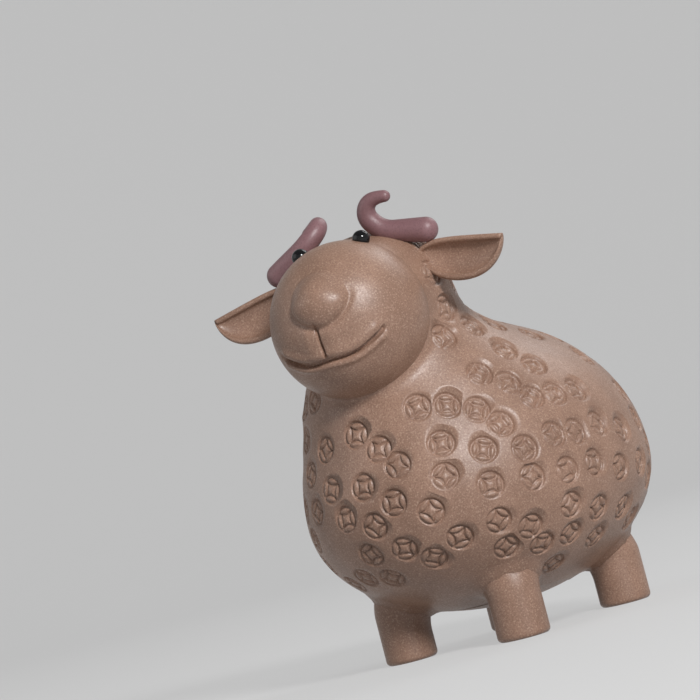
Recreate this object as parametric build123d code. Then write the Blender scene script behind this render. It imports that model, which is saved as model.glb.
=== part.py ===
from build123d import *
from math import cos, degrees, hypot, pi, radians, sin, sqrt, tan
import os

# Clay sheep figurine. Lengths are millimetres and angles are degrees. While it is built, the
# sheep faces -Y, its left side is +X, it stands on Z = 0 and the body's middle is over the
# origin. At the end the figure moves so that the origin is the middle of its whole footprint.

# Body: a hollow egg whose widest level lies low
body_width = 55.0
body_length = 66.0
belly_level = 25.5
back_rise = 27.4
belly_drop = 20.4
clay_wall = 3.0

# Base disc that closes the hand hole under the belly, with the vent for the kiln
base_radius = 10.5
vent_radius = 1.8

# Legs: four stubs with domed tops that sink into the body
leg_radius = 4.4
leg_height = 12.6
leg_side_inset = 15.5
leg_front_inset = 18.5
leg_rear_inset = 17.5
sole_edge = 0.8

# Tail: a flattened teardrop pressed on the rump
tail_width = 7.0
tail_length = 9.5
tail_depth = 5.0
tail_level = 31.0
tail_press = 1.2
tail_droop = 28.0

# Neck and crown: one turned form that leans forward and turns to the sheep's left
neck_setback = 17.7
neck_height = 6.52
head_turn = 15.4
neck_lean = 16.0
neck_radius = 13.7
crown_rise = 14.0
crown_edge = 11.0
nape_radius = 14.0
nape_angle = 22.0
neck_drop = 22.0
throat_radius = 5.0

# Coin marks: round dishes pressed into the skin in staggered rows
mark_radius = 2.6
mark_depth = 0.6
mark_spacing = 9.6
mark_low_tilt = -30.0
mark_high_tilt = 70.0
mark_crown_tilt = 45.0

# Muzzle: a hollow ball set into the front of the neck
muzzle_slack = 0.75
muzzle_bite = 2.2
muzzle_rise = 0.2
vent_tilt = 30.0

# Nose pad on the muzzle
nose_width = 10.2
nose_height = 7.6
nose_depth = 3.3
nose_sunk = 1.2
nose_turn = 6.0
nose_tilt = 15.3

# Smile and the groove that joins it to the nose
smile_rise = 3.05
smile_tilt = 41.4
smile_half_angle = 46.8
smile_groove = 0.65
lip_groove = 0.55
groove_lift = 0.1
lip_top_angle = 1.0
lip_bottom_angle = 27.3

# Eyes: glossy beads pressed into the top of the muzzle
eye_radius = 1.45
eye_stand = 0.35
eye_turn = 94.0
eye_tilt = 65.0

# Ears: half a pointed pod each, hollowed to a rim
ear_length = 17.5
ear_width = 8.2
ear_depth = 3.6
ear_rim = 0.9
ear_sunk = 3.3
ear_drop = 6.0
ear_forward = 1.2
ear_sweep = 8.0
ear_pitch = 22.0

# Horns: tapered rolls laid over the crown's edge, with the thin end curled up and outwards
horn_root_radius = 2.1
horn_neck_radius = 1.7
horn_tip_radius = 0.95
horn_press = 1.75
horn_droop = 14.0
horn_overhang = 8.3
horn_lay = 5.3
horn_bend_radius = 5.3
horn_bend_angle = 48.0
curl_radius = 2.35
curl_angle = 113.0
tip_bend_radius = 6.7
tip_bend_angle = 17.0
horn_end_share = 0.97

# The right horn is the same roll, laid further out, lifted, swung back and twisted about itself
right_horn_overhang = 8.9
right_horn_lift = 5.0
right_horn_swing = 10.0
right_horn_twist = 80.0


def egg(width, length, rise, drop):
    """Two half-ellipsoids that meet in one widest level, centred on the origin."""
    dome = Sphere(1, arc_size1=0, arc_size2=90, align=None)
    bowl = Sphere(1, arc_size1=-90, arc_size2=0, align=None)
    half_width, half_length = width / 2, length / 2
    return scale(dome, by=(half_width, half_length, rise)) + scale(
        bowl, by=(half_width, half_length, drop)
    )


def body_form(wall=0):
    """The body's egg, smaller by a wall all round."""
    return Pos(0, 0, belly_level) * egg(
        body_width - 2 * wall, body_length - 2 * wall, back_rise - wall, belly_drop - wall
    )


# The head and neck are made about the neck's own axis, then set on the body as one
neck_forward = body_length / 2 - neck_setback
neck_seat = belly_level + back_rise * sqrt(1 - (neck_forward / (body_length / 2)) ** 2)
head_level = neck_seat + neck_height
neck_place = Pos(0, -neck_forward, head_level) * Rot(Z=head_turn) * Rot(X=neck_lean)
muzzle_radius = neck_radius - muzzle_slack
muzzle_reach = neck_radius - muzzle_bite
muzzle_place = Rot(X=-neck_lean) * Pos(0, -muzzle_reach, muzzle_rise)


def neck_form():
    """Crown, straight neck and the flare of the nape, turned about the neck's axis."""
    flat_edge = neck_radius - crown_edge
    edge_level = crown_rise - crown_edge
    down_slope = (sin(radians(nape_angle)), -cos(radians(nape_angle)))
    with BuildSketch() as half_section:
        with BuildLine():
            top = Line((0, crown_rise), (flat_edge, crown_rise))
            corner = RadiusArc(top @ 1, (neck_radius, edge_level), crown_edge)
            side = Line(corner @ 1, (neck_radius, 0))
            nape = JernArc(side @ 1, (0, -1), nape_radius, nape_angle)
            fall = (nape @ 1).Y + neck_drop
            run = fall * down_slope[0] / -down_slope[1]
            skirt = Line(nape @ 1, ((nape @ 1).X + run, -neck_drop))
            floor = Line(skirt @ 1, (0, -neck_drop))
            Line(floor @ 1, top @ 0)
        make_face()
    return revolve(Plane.XZ * half_section.sketch, Axis.Z)


def dish(place, outward):
    """Cutter for one coin mark: a ball that bites into the skin at a place."""
    ball_radius = (mark_radius**2 + mark_depth**2) / (2 * mark_depth)
    return Pos(place + outward * (ball_radius - mark_depth)) * Sphere(ball_radius)


def on_body(turn, tilt):
    """A place on the egg, turned from the front and tilted up, and the way out of its skin."""
    drop = back_rise if tilt > 0 else belly_drop
    halves = Vector(body_width / 2, body_length / 2, drop)
    ray = Vector(0, -1, 0).rotate(Axis.X, -tilt).rotate(Axis.Z, turn)
    place = Vector(ray.X * halves.X, ray.Y * halves.Y, ray.Z * halves.Z)
    outward = Vector(ray.X / halves.X, ray.Y / halves.Y, ray.Z / halves.Z).normalized()
    return place + Vector(0, 0, belly_level), outward


def is_bare(place):
    """True where the neck, the muzzle or the tail covers a mark."""
    by_neck = (neck_place.inverse() * Pos(place)).position
    skirt = neck_radius + max(-by_neck.Z, 0) * tan(radians(nape_angle)) + mark_radius
    under_neck = by_neck.Z > -neck_drop and hypot(by_neck.X, by_neck.Y) < skirt
    by_muzzle = (place - (neck_place * muzzle_place).position).length
    by_tail = (place - Vector(0, tail_seat(), tail_level)).length
    return under_neck or by_muzzle < muzzle_radius + 2 * mark_radius or by_tail < tail_length


def body_marks():
    """Dishes in level rows round the body, each row half a step on from the one below."""
    mean_radius = (body_width + body_length) / 4
    rows = round(radians(mark_high_tilt - mark_low_tilt) * mean_radius / mark_spacing)
    cutters = []
    for row in range(rows + 1):
        tilt = mark_low_tilt + (mark_high_tilt - mark_low_tilt) * row / rows
        many = int(2 * pi * mean_radius * cos(radians(tilt)) / mark_spacing)
        for step in range(many):
            place, outward = on_body(360 * (step + row % 2 / 2) / many, tilt)
            if not is_bare(place):
                cutters.append(dish(place, outward))
    return cutters


def neck_marks():
    """Dishes in three rows round the back of the neck and in one row on the chest."""
    crown, nape = radians(mark_crown_tilt), radians(nape_angle)
    edge_middle = Vector(neck_radius - crown_edge, 0, crown_rise - crown_edge)
    nape_middle = Vector(neck_radius + nape_radius, 0, 0)
    nape_end = nape_middle - nape_radius * Vector(cos(nape), 0, sin(nape))
    chest = nape_end + mark_spacing * Vector(sin(nape), 0, -cos(nape))
    rows = (
        (edge_middle + crown_edge * Vector(cos(crown), 0, sin(crown)), mark_crown_tilt, 2, 90),
        (edge_middle + crown_edge * Vector(1, 0, 0), 0, 3, 90),
        (nape_end, nape_angle, 6, 90),
        (chest, nape_angle, 3, -90),
    )
    cutters = []
    for place, tilt, many, facing in rows:
        outward = Vector(1, 0, 0).rotate(Axis.Y, -tilt)
        step = degrees(mark_spacing / place.X)
        for count in range(many):
            turn = facing + (count - (many - 1) / 2) * step
            cutters.append(dish(place.rotate(Axis.Z, turn), outward.rotate(Axis.Z, turn)))
    return cutters


def muzzle_ball(wall=0):
    """The muzzle's ball, smaller by a wall all round."""
    return muzzle_place * Sphere(muzzle_radius - wall)


def on_muzzle(turn, tilt, reach):
    """A place on a ray from the muzzle's middle, with -Y pointing outwards."""
    return muzzle_place * Rot(Z=turn) * Rot(X=-tilt) * Pos(0, -reach, 0)


def muzzle_vent():
    """Air way from the muzzle's hollow down to the throat."""
    drill = Cylinder(vent_radius, muzzle_radius, align=(Align.CENTER, Align.CENTER, Align.MIN))
    return on_muzzle(180, -vent_tilt, 0) * Rot(X=90) * drill


def throat():
    """Air way from the body's hollow up the neck to the muzzle."""
    drill = Cylinder(throat_radius, neck_drop, align=(Align.CENTER, Align.CENTER, Align.MIN))
    return Pos(0, 0, -neck_drop) * drill


def groove(place, ring_radius, groove_radius, start, end, round_ends):
    """Cutters for a groove along an arc about the place's Z axis, rounded at some ends."""
    arc = Torus(ring_radius, groove_radius, major_angle=end - start, align=None)
    cutters = [place * Rot(Z=start) * arc]
    for angle in round_ends:
        cutters.append(place * Rot(Z=angle) * Pos(ring_radius, 0, 0) * Sphere(groove_radius))
    return cutters


def smile():
    """The mouth: an arc where a tilted plane meets the muzzle's ball."""
    ring_radius = sqrt((muzzle_radius + groove_lift) ** 2 - smile_rise**2)
    place = muzzle_place * Rot(X=smile_tilt) * Pos(0, 0, smile_rise)
    corners = (-90 - smile_half_angle, -90 + smile_half_angle)
    return groove(place, ring_radius, smile_groove, *corners, corners)


def lip_cleft():
    """The upright groove under the nose, which runs out into the smile."""
    place = muzzle_place * Rot(Y=-90)
    ring_radius = muzzle_radius + groove_lift
    top, bottom = -90 - lip_top_angle, -90 - lip_bottom_angle
    return groove(place, ring_radius, lip_groove, bottom, top, (top,))


def eye_bead():
    """The left bead, pressed into the top of the muzzle."""
    return on_muzzle(eye_turn, eye_tilt, muzzle_radius + eye_stand) * Sphere(eye_radius)


def nose_pad():
    """A soft oval pad that stands a little proud of the muzzle."""
    oval = scale(Sphere(1), by=(nose_width / 2, nose_depth, nose_height / 2))
    return on_muzzle(nose_turn, nose_tilt, muzzle_radius - nose_sunk) * oval


def pod(length, width, depth):
    """Half a pointed pod: an arc turned about its chord along X, flattened, its face on Y = 0."""
    arc_rise = width / 2
    with BuildSketch() as half_leaf:
        with BuildLine():
            rib = SagittaArc((0, 0), (length, 0), -arc_rise)
            Line(rib @ 1, rib @ 0)
        make_face()
    whole = scale(revolve(half_leaf.sketch, Axis.X), by=(1, depth / arc_rise, 1))
    return split(whole, bisect_by=Plane.XZ, keep=Keep.BOTTOM)


def ear_shell():
    """The left ear: a cupped leaf that opens forwards, before its root is cut to the neck."""
    inner_length = ear_length * (ear_width - 2 * ear_rim) / ear_width
    outer = pod(ear_length, ear_width, ear_depth)
    inner = Pos((ear_length - inner_length) / 2, 0, 0) * pod(
        inner_length, ear_width - 2 * ear_rim, ear_depth - ear_rim
    )
    root = Pos(neck_radius - ear_sunk, -ear_forward, crown_rise - ear_drop)
    return root * Rot(Z=-ear_sweep) * Rot(X=-ear_pitch) * (outer - inner)


def horn_path(side, overhang):
    """Middle line of a horn in the neck's upright plane, and the length that lies on the crown."""
    edge_middle = Vector(neck_radius - crown_edge, crown_rise - crown_edge)
    heading = Vector(-1, 0).rotate(Axis.Z, -horn_droop)
    clearance = Vector(0, crown_edge + horn_root_radius - horn_press).rotate(Axis.Z, -horn_droop)
    root = edge_middle + clearance - overhang * heading
    with BuildLine() as path:
        lay = Line(root, root + horn_lay * heading)
        bend = JernArc(lay @ 1, lay % 1, horn_bend_radius, -horn_bend_angle)
        curl = JernArc(bend @ 1, bend % 1, curl_radius, -curl_angle)
        JernArc(curl @ 1, curl % 1, tip_bend_radius, -tip_bend_angle)
    upright = Plane((0, 0, 0), x_dir=(side, 0, 0), z_dir=(0, -side, 0))
    return upright * path.wire(), lay.length + bend.length


def horn_roll(side, overhang):
    """A tapered roll that lies over the crown's edge, then curls up and out again."""
    line, lay_length = horn_path(side, overhang)
    stations = (
        (0, horn_root_radius),
        (lay_length, horn_neck_radius),
        (line.length, horn_tip_radius),
    )
    rings = []
    for walked, radius in stations:
        middle = line.position_at(walked, position_mode=PositionMode.LENGTH)
        ahead = line.tangent_at(walked, position_mode=PositionMode.LENGTH)
        rings.append(Plane(middle, x_dir=(0, 1, 0), z_dir=ahead) * Circle(radius))
    roll = sweep(rings, path=line, multisection=True)
    root_end = Pos(line @ 0) * Sphere(horn_root_radius * horn_end_share)
    tip_end = Pos(line @ 1) * Sphere(horn_tip_radius * horn_end_share)
    return Part() + [roll, root_end, tip_end]


def right_horn():
    """The right roll, twisted about its laid part so that its curl points backwards."""
    line, lay_length = horn_path(-1, right_horn_overhang)
    root = line @ 0
    laid = line.position_at(lay_length, position_mode=PositionMode.LENGTH) - root
    twisted = horn_roll(-1, right_horn_overhang).rotate(Axis(root, laid), -right_horn_twist)
    lifted = twisted.rotate(Axis(root, (0, 1, 0)), -right_horn_lift)
    return lifted.rotate(Axis(root, (0, 0, 1)), right_horn_swing)


def leg_stub(across, along):
    """One leg: flat sole with a bevelled edge, straight shaft and domed top."""
    with BuildSketch() as half_section:
        with BuildLine():
            sole = Line((0, 0), (leg_radius - sole_edge, 0))
            edge = Line(sole @ 1, (leg_radius, sole_edge))
            shaft = Line(edge @ 1, (leg_radius, leg_height - leg_radius))
            dome = RadiusArc(shaft @ 1, (0, leg_height), -leg_radius)
            Line(dome @ 1, sole @ 0)
        make_face()
    return Pos(across, along, 0) * revolve(Plane.XZ * half_section.sketch, Axis.Z)


def tail_seat():
    """How far back the tail is pressed on the rump."""
    return body_length / 2 * sqrt(1 - ((tail_level - belly_level) / back_rise) ** 2) - tail_press


def tail_drop():
    """A flattened drop on the rump that hangs down a little."""
    drop = scale(Sphere(1), by=(tail_width / 2, tail_depth / 2, tail_length / 2))
    place = Pos(0, tail_seat(), tail_level) * Rot(X=tail_droop)
    return place * Pos(0, 0, -tail_length / 4) * drop


def hand_hole():
    """Round opening through the underside."""
    return Cylinder(base_radius, belly_level, align=(Align.CENTER, Align.CENTER, Align.MIN))


def base_vent():
    """Small round hole up through the middle of the base disc."""
    return Cylinder(vent_radius, belly_level, align=(Align.CENTER, Align.CENTER, Align.MIN))


neck = neck_form()
muzzle = muzzle_ball()
eye = eye_bead()
across = Plane.YZ
right_eye = mirror(eye, across)
left_horn = horn_roll(1, horn_overhang) - neck - muzzle
right_horn_roll = right_horn() - neck - muzzle

# Pieces of the head, about the neck's axis
head = {
    "muzzle": muzzle - muzzle_ball(clay_wall) - muzzle_vent() - lip_cleft() - smile() - eye - right_eye,
    "nose": nose_pad() - muzzle,
    "eye_left": eye,
    "eye_right": right_eye,
    "horn_left": left_horn,
    "horn_right": right_horn_roll,
    "ear_left": ear_shell() - neck - left_horn,
    "ear_right": mirror(ear_shell(), across) - neck - right_horn_roll,
}

# Pieces about the body's middle
body = body_form()
skin = body - body_form(clay_wall)
figure = {
    "body_shell": skin - hand_hole() - neck_place * throat() - neck_place * muzzle - body_marks(),
    "base_disc": (skin & hand_hole()) - base_vent(),
    "neck_hood": neck_place * (neck - muzzle - throat() - neck_marks()) - body,
    "tail": tail_drop() - body,
}
for name, piece in head.items():
    figure[name] = neck_place * piece
leg_side = body_width / 2 - leg_side_inset
leg_front = body_length / 2 - leg_front_inset
leg_rear = body_length / 2 - leg_rear_inset
for side, sign in (("left", 1), ("right", -1)):
    figure["leg_front_" + side] = leg_stub(sign * leg_side, -leg_front) - body
    figure["leg_rear_" + side] = leg_stub(sign * leg_side, leg_rear) - body

# The origin ends in the middle of the figure's footprint
boxes = [piece.bounding_box() for piece in figure.values()]
middle_x = (min(box.min.X for box in boxes) + max(box.max.X for box in boxes)) / 2
middle_y = (min(box.min.Y for box in boxes) + max(box.max.Y for box in boxes)) / 2
centring = Pos(-middle_x, -middle_y, 0)

os.makedirs("parts", exist_ok=True)
for name, piece in figure.items():
    export_step(centring * piece, "parts/" + name + ".step")
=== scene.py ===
"""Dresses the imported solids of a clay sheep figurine: a skin stamped with coin marks, a smiling
ball muzzle, cupped ears, curled horns, glazed bead eyes and stub legs, on a pale studio floor."""

import math

import bpy
import numpy as np
from mathutils import Matrix, Vector
from mathutils.geometry import delaunay_2d_cdt


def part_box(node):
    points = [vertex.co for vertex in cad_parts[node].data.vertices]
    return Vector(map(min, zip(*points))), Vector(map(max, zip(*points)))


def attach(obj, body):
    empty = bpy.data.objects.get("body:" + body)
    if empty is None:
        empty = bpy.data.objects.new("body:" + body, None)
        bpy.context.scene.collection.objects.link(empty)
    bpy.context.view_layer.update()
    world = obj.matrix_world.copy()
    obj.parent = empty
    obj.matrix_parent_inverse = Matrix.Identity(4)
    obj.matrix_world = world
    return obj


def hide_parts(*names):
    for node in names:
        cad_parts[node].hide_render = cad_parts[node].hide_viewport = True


bl_info = {
    "name": "Clay Sheep",
    "version": (1, 0, 0),
    "blender": (4, 5, 0),
    "location": "View3D > Sidebar > Sheep",
    "description": "Builds a clay sheep figurine with stamped coin marks around its packed solids",
    "category": "Object",
}

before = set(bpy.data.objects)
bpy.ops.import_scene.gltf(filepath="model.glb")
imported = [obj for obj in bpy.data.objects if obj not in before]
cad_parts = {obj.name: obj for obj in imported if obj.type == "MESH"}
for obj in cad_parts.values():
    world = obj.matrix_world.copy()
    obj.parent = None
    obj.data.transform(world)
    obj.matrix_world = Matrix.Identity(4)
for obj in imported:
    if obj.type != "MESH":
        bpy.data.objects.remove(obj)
MM = 0.001


def length(name, about, default_mm):
    """A size in millimetres, kept in metres."""
    return bpy.props.FloatProperty(
        name=name, description=about, default=default_mm * MM, min=0.0, unit="LENGTH", precision=5
    )


def place(name, about, default_mm):
    """A signed distance in millimetres, kept in metres."""
    return bpy.props.FloatProperty(
        name=name, description=about, default=default_mm * MM, unit="LENGTH", precision=5
    )


def angle(name, about, default_degrees):
    """An angle in degrees, kept in radians."""
    return bpy.props.FloatProperty(
        name=name, description=about, default=math.radians(default_degrees), unit="ROTATION"
    )


def number(name, about, default):
    """A plain number."""
    return bpy.props.FloatProperty(name=name, description=about, default=default, precision=4)


def count(name, about, default):
    """A whole number."""
    return bpy.props.IntProperty(name=name, description=about, default=default, min=1)


def colour(name, about, default):
    """A linear colour."""
    return bpy.props.FloatVectorProperty(
        name=name, description=about, default=default, size=3, min=0.0, max=1.0, subtype="COLOR"
    )


class SheepBodySizes(bpy.types.PropertyGroup):
    """Sizes of the egg body, the neck and the crown."""

    belly_level: length("Belly level", "Height of the body's widest level", 25.5)
    belly_drop: length("Belly drop", "Depth of the egg below its widest level", 20.4)
    neck_forward: length("Neck forward", "How far the neck stands before the body's middle", 15.3)
    head_level: length("Head level", "Height of the neck's middle", 56.3)
    head_turn: angle("Head turn", "Turn of the head to the sheep's left", 15.4)
    neck_lean: angle("Neck lean", "Forward lean of the neck", 16.0)
    neck_radius: length("Neck radius", "Radius of the neck", 13.7)
    crown_rise: length("Crown rise", "Height of the crown above the neck's middle", 14.0)
    crown_edge: length("Crown edge", "Radius of the crown's round edge", 11.0)
    nape_radius: length("Nape radius", "Radius of the curve into the neck's flare", 14.0)
    nape_angle: angle("Nape angle", "Slope of the neck's flare", 22.0)
    flare_drop: length("Flare drop", "Where the flare ends inside the body", 11.0)
    neck_drop: length("Neck drop", "Reach of the neck into the body", 22.0)
    nape_blend: length("Nape blend", "Width of the soft join of neck and body", 7.0)
    collar_blend: length("Collar blend", "Width of the soft join of hood and muzzle", 2.6)
    collar_inset: length("Collar inset", "Depth of the hood's inner ball under the muzzle", 0.55)
    skin_wave: length("Skin wave", "Unevenness of the hand-pressed skin", 0.12)
    hole_radius: length("Hole radius", "Radius of the hand hole under the belly", 10.5)
    hole_gap: length("Hole gap", "Gap between the base disc and the skin", 0.05)
    hole_depth: length("Hole depth", "Depth of the recess behind the base disc", 5.2)


class SheepCoinSizes(bpy.types.PropertyGroup):
    """Sizes of the stamped coin marks."""

    radius: length("Radius", "Radius of the coin mark", 2.3)
    sides: count("Sides", "Steps round a coin mark", 32)
    line_radius_share: number("Line radius share", "Radius of the ring groove, as a share", 0.89)
    line_width: length("Line width", "Half width of a groove", 0.22)
    line_depth: length("Line depth", "Depth of the grooves", 0.44)
    pillow_width: length("Pillow width", "Width over which the petals rise", 0.6)
    pillow_rise: length("Pillow rise", "Rise of the petals above the tool's face", 0.2)
    edge_wall: length("Edge wall", "Width of the wall round the coin", 0.09)
    step: length("Step", "Height of the tool's shoulder above its face", 0.22)
    shoulder_radius: length("Shoulder radius", "Radius of the tool's shoulder", 2.74)
    shoulder_shift: length("Shoulder shift", "How far the shoulder lies off the coin's middle", 0.4)
    shoulder_wall: length("Shoulder wall", "Width of the wall round the shoulder", 0.12)
    margin: length("Margin", "Skin drawn out round the shoulder", 0.32)
    cell_gap: length("Cell gap", "Gap kept to the middle line between two marks", 0.06)
    press: length("Press", "Depth of the tool's face at its middle", 0.29)
    press_change: length("Press change", "Spread of that depth", 0.06)
    tilt: number("Tilt", "Mean slope of the tool", 0.08)
    tilt_change: number("Tilt change", "Spread of that slope", 0.055)
    lean: angle("Lean", "Which way the tool leans, up from the level way round the body", 25.0)
    lean_change: angle("Lean change", "Spread of that way", 45.0)
    skin_curve: length("Skin curve", "Mean radius of the skin under the tool", 27.0)
    spacing: length("Spacing", "Least distance between marks", 5.25)
    photo_share: number("Photo share", "The same for the photograph's marks, as a share", 0.78)
    seed: count("Seed", "Seed of the random places, turns and tilts", 7)


class SheepFaceSizes(bpy.types.PropertyGroup):
    """Sizes of the muzzle, its nose, smile and eyes."""

    smile_tilt: angle("Smile tilt", "Tilt of the plane that the smile lies in", 41.4)
    smile_rise: length("Smile rise", "Offset of that plane from the muzzle's middle", 3.05)
    smile_half: angle("Smile half", "Half of the smile's length round the muzzle", 46.8)
    smile_depth: length("Smile depth", "Depth of the mouth", 1.9)
    smile_width: length("Smile width", "Half width of the mouth's groove", 0.36)
    lip_rise: length("Lip rise", "Fullness of the lips", 0.26)
    cleft_depth: length("Cleft depth", "Depth of the groove under the nose", 0.75)
    cleft_width: length("Cleft width", "Half width of the groove under the nose", 0.24)
    nose_turn: angle("Nose turn", "Turn of the nose to the sheep's left", 4.0)
    nose_tilt: angle("Nose tilt", "Tilt of the nose", 14.5)
    nose_half_width: length("Nose half width", "Half of the nose's width", 5.25)
    nose_half_height: length("Nose half height", "Half of the nose's height", 4.2)
    nose_rise: length("Nose rise", "How far the nose stands out", 1.98)
    eye_forward: length("Eye forward", "How far before their solids the beads sit", 0.6)


class SheepHornSizes(bpy.types.PropertyGroup):
    """Sizes of the curled horns."""

    root_radius: length("Root radius", "Radius at the thick end", 2.1)
    neck_radius: length("Neck radius", "Radius where the curl begins", 1.72)
    tip_radius: length("Tip radius", "Radius at the thin end", 0.95)
    press: length("Press", "How far the horn is pressed into the crown", 1.75)
    droop: angle("Droop", "Slope of the part that lies on the crown", 14.0)
    overhang: length("Overhang", "Reach of the thick end past the crown's edge", 8.3)
    lay: length("Lay", "Length of the straight part", 5.3)
    bend_radius: length("Bend radius", "Radius of the bend before the curl", 5.3)
    bend_angle: angle("Bend angle", "Turn of the bend before the curl", 48.0)
    curl_radius: length("Curl radius", "Radius of the curl", 2.35)
    curl_angle: angle("Curl angle", "Turn of the curl", 113.0)
    tip_bend_radius: length("Tip bend radius", "Radius of the bend at the tip", 6.7)
    tip_bend_angle: angle("Tip bend angle", "Turn of the bend at the tip", 17.0)
    neck_share: number("Neck share", "Where the curl begins along the horn", 0.59)
    right_overhang: length("Right overhang", "Reach of the right horn past the crown's edge", 8.9)
    right_lift: angle("Right lift", "How far the right horn is lifted", 5.0)
    right_swing: angle("Right swing", "How far the right horn is swung back", 10.0)
    right_twist: angle("Right twist", "How far the right horn's curl is twisted back", 80.0)
    steps: count("Steps", "Rings along a horn", 170)
    sides: count("Sides", "Sides of a ring", 40)


class SheepEarSizes(bpy.types.PropertyGroup):
    """Sizes of the cupped ears."""

    reach: length("Reach", "Length of an ear", 15.7)
    up: length("Up", "Height of the top edge above the ear's line", 3.4)
    down: length("Down", "Depth of the lower edge below the ear's line", 4.4)
    fall: length("Fall", "How far the top edge falls from root to tip", 3.0)
    depth: length("Depth", "Depth of the ear's back", 2.5)
    rim: length("Rim", "Thickness of the ear", 1.0)
    root_out: length("Root out", "Where the ear starts, from the neck's axis", 11.3)
    level: length("Level", "Height of the ear over the neck's middle", 8.0)
    forward: length("Forward", "How far the ear stands forward", 1.2)
    sweep: angle("Sweep", "How far the ear points forward", 8.0)
    pitch: angle("Pitch", "How far the ear's hollow looks up", 27.0)


class SheepLegSizes(bpy.types.PropertyGroup):
    """Sizes of the legs and the tail."""

    radius: length("Radius", "Radius of a leg", 4.4)
    height: length("Height", "Height of a leg's dome", 12.6)
    edge: length("Edge", "Round edge of a sole", 0.8)
    blend: length("Blend", "Width of the soft join of leg and belly", 3.0)
    tail_width: length("Tail width", "Width of the tail", 7.0)
    tail_length: length("Tail length", "Length of the tail", 9.5)
    tail_depth: length("Tail depth", "Thickness of the tail", 5.0)
    tail_droop: angle("Tail droop", "Slope of the tail", 28.0)


class SheepFinishes(bpy.types.PropertyGroup):
    """Colours and grain of the clays and the glaze."""

    clay: colour("Clay", "Brown stoneware", (0.335, 0.2, 0.142))
    clay_dark: colour("Dark clay", "Brown stoneware where it is darker", (0.205, 0.116, 0.079))
    clay_speck: colour("Clay specks", "Sand grains in the clay", (0.56, 0.4, 0.31))
    horn: colour("Horn clay", "Purple clay of the horns", (0.25, 0.132, 0.143))
    horn_dark: colour("Dark horn clay", "Purple clay where it is darker", (0.165, 0.08, 0.085))
    glaze: colour("Glaze", "Black glaze of the eyes", (0.006, 0.006, 0.007))
    floor: colour("Floor", "Studio floor", (0.5, 0.5, 0.5))
    backdrop: colour("Backdrop", "Plain tone of the floor and backdrop", (0.76, 0.76, 0.76))
    grain: length("Grain", "Size of a sand grain", 0.27)
    roughness: number("Roughness", "Roughness of the fired clay", 0.4)


class SheepStage(bpy.types.PropertyGroup):
    """Camera and studio."""

    azimuth: angle("Azimuth", "Where the camera stands round the sheep", 39.5)
    elevation: angle("Elevation", "How far the camera looks down", -3.8)
    roll: angle("Roll", "Roll of the camera", 14.6)
    distance: length("Distance", "Distance of the camera", 430.0)
    aim_across: place("Aim across", "Aim from the body's middle, to the sheep's left", -11.07)
    aim_along: place("Aim along", "Aim from the body's middle, backwards", -11.12)
    aim_up: place("Aim up", "Height of the aim over the floor", 53.19)
    lens: number("Lens", "Focal length for a 36 millimetre sensor", 130.5)
    floor_radius: length("Floor radius", "Radius of the flat floor", 900.0)
    wall_height: length("Wall height", "Height of the backdrop round the floor", 900.0)


GROUPS = {
    "sheep_body": SheepBodySizes,
    "sheep_coins": SheepCoinSizes,
    "sheep_face": SheepFaceSizes,
    "sheep_horns": SheepHornSizes,
    "sheep_ears": SheepEarSizes,
    "sheep_legs": SheepLegSizes,
    "sheep_finishes": SheepFinishes,
    "sheep_stage": SheepStage,
}

# Where coin marks lie in the photograph, in its pixels
COIN_PIXELS = (
    (447, 405), (477, 409), (501, 423), (525, 448), (484, 449), (441, 443), (445, 476), (491, 485),
    (533, 477), (568, 470), (595, 462), (621, 467), (554, 434), (576, 431), (499, 521), (531, 527),
    (572, 505), (599, 508), (623, 507), (460, 538), (507, 548), (542, 544), (571, 534), (595, 537),
    (553, 564), (480, 373), (508, 382), (532, 396), (555, 393), (576, 389), (505, 350), (534, 365),
    (464, 359), (444, 337), (598, 423), (622, 429), (431, 512), (434, 559), (417, 407), (355, 435),
    (349, 458), (378, 449), (397, 465), (362, 487), (393, 503), (374, 527), (404, 550), (371, 556),
    (429, 563), (325, 450), (330, 490), (345, 520), (441, 318), (437, 296), (432, 272), (441, 283),
)

# Width of the photograph in pixels, and of the camera's sensor in millimetres
PICTURE = 700
SENSOR = 36

# Where the photograph shows the body's side, in its pixels
SIDE_ACROSS = (318, 634)
SIDE_DOWN = (332, 570)

# Pixels for each millimetre of the muzzle, and round it, and the least that seen skin faces the eye
HEAD_SCALE = 5.9
HEAD_MARGIN = 4
LEAST_FACING = 0.22

# Ways that coin marks keep from the other pieces, and how far down they may look
BALL_CLEAR = 2.4 * MM
PHOTO_BALL_CLEAR = 2.0 * MM
LEG_CLEAR = 3.4 * MM
LEG_TOP = 22 * MM
TAIL_CLEAR = 6.8 * MM
HORN_CLEAR = 3.4 * MM
UNDERSIDE = -0.72

# Random points tried for coin marks and for the bare skin
COIN_TRIES = 26000
SKIN_TRIES = 90000

# Spacing of the bare skin's points: at large, then way and spacing near the muzzle's ball, by the
# legs and out of sight, then to a mark and to the hand hole
SKIN_GAP = 1.45 * MM
BALL_GAPS = ((6.5 * MM, 1.0 * MM), (2.2 * MM, 0.62 * MM))
LEG_GAP = (3.5 * MM, 0.9 * MM)
HIDDEN_GAP = (3.0 * MM, 2.6 * MM)
MARK_GAP = 0.55
HOLE_MARGIN = 0.9 * MM
HOLE_ROOM = 4 * MM
BALL_HIDES = 0.02 * MM

# Cells that the search for near points uses, and the least slant of the skin to its rays
MARK_CELL = 4 * MM
SKIN_CELL = 1.0 * MM
LEAST_SLANT = 0.05

# Rings of a mark: where they lie between its middle, its grooves and the end of its skin
CELL_ROUNDS = 5
NEIGHBOUR_REACH = 2.2
PETAL_GAP = 0.05 * MM
FIRST_RING = 0.5
WALL_SHARE = 0.3
SHOULDER_SHARE = 0.2
SKIN_SHARE = 0.6

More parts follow.
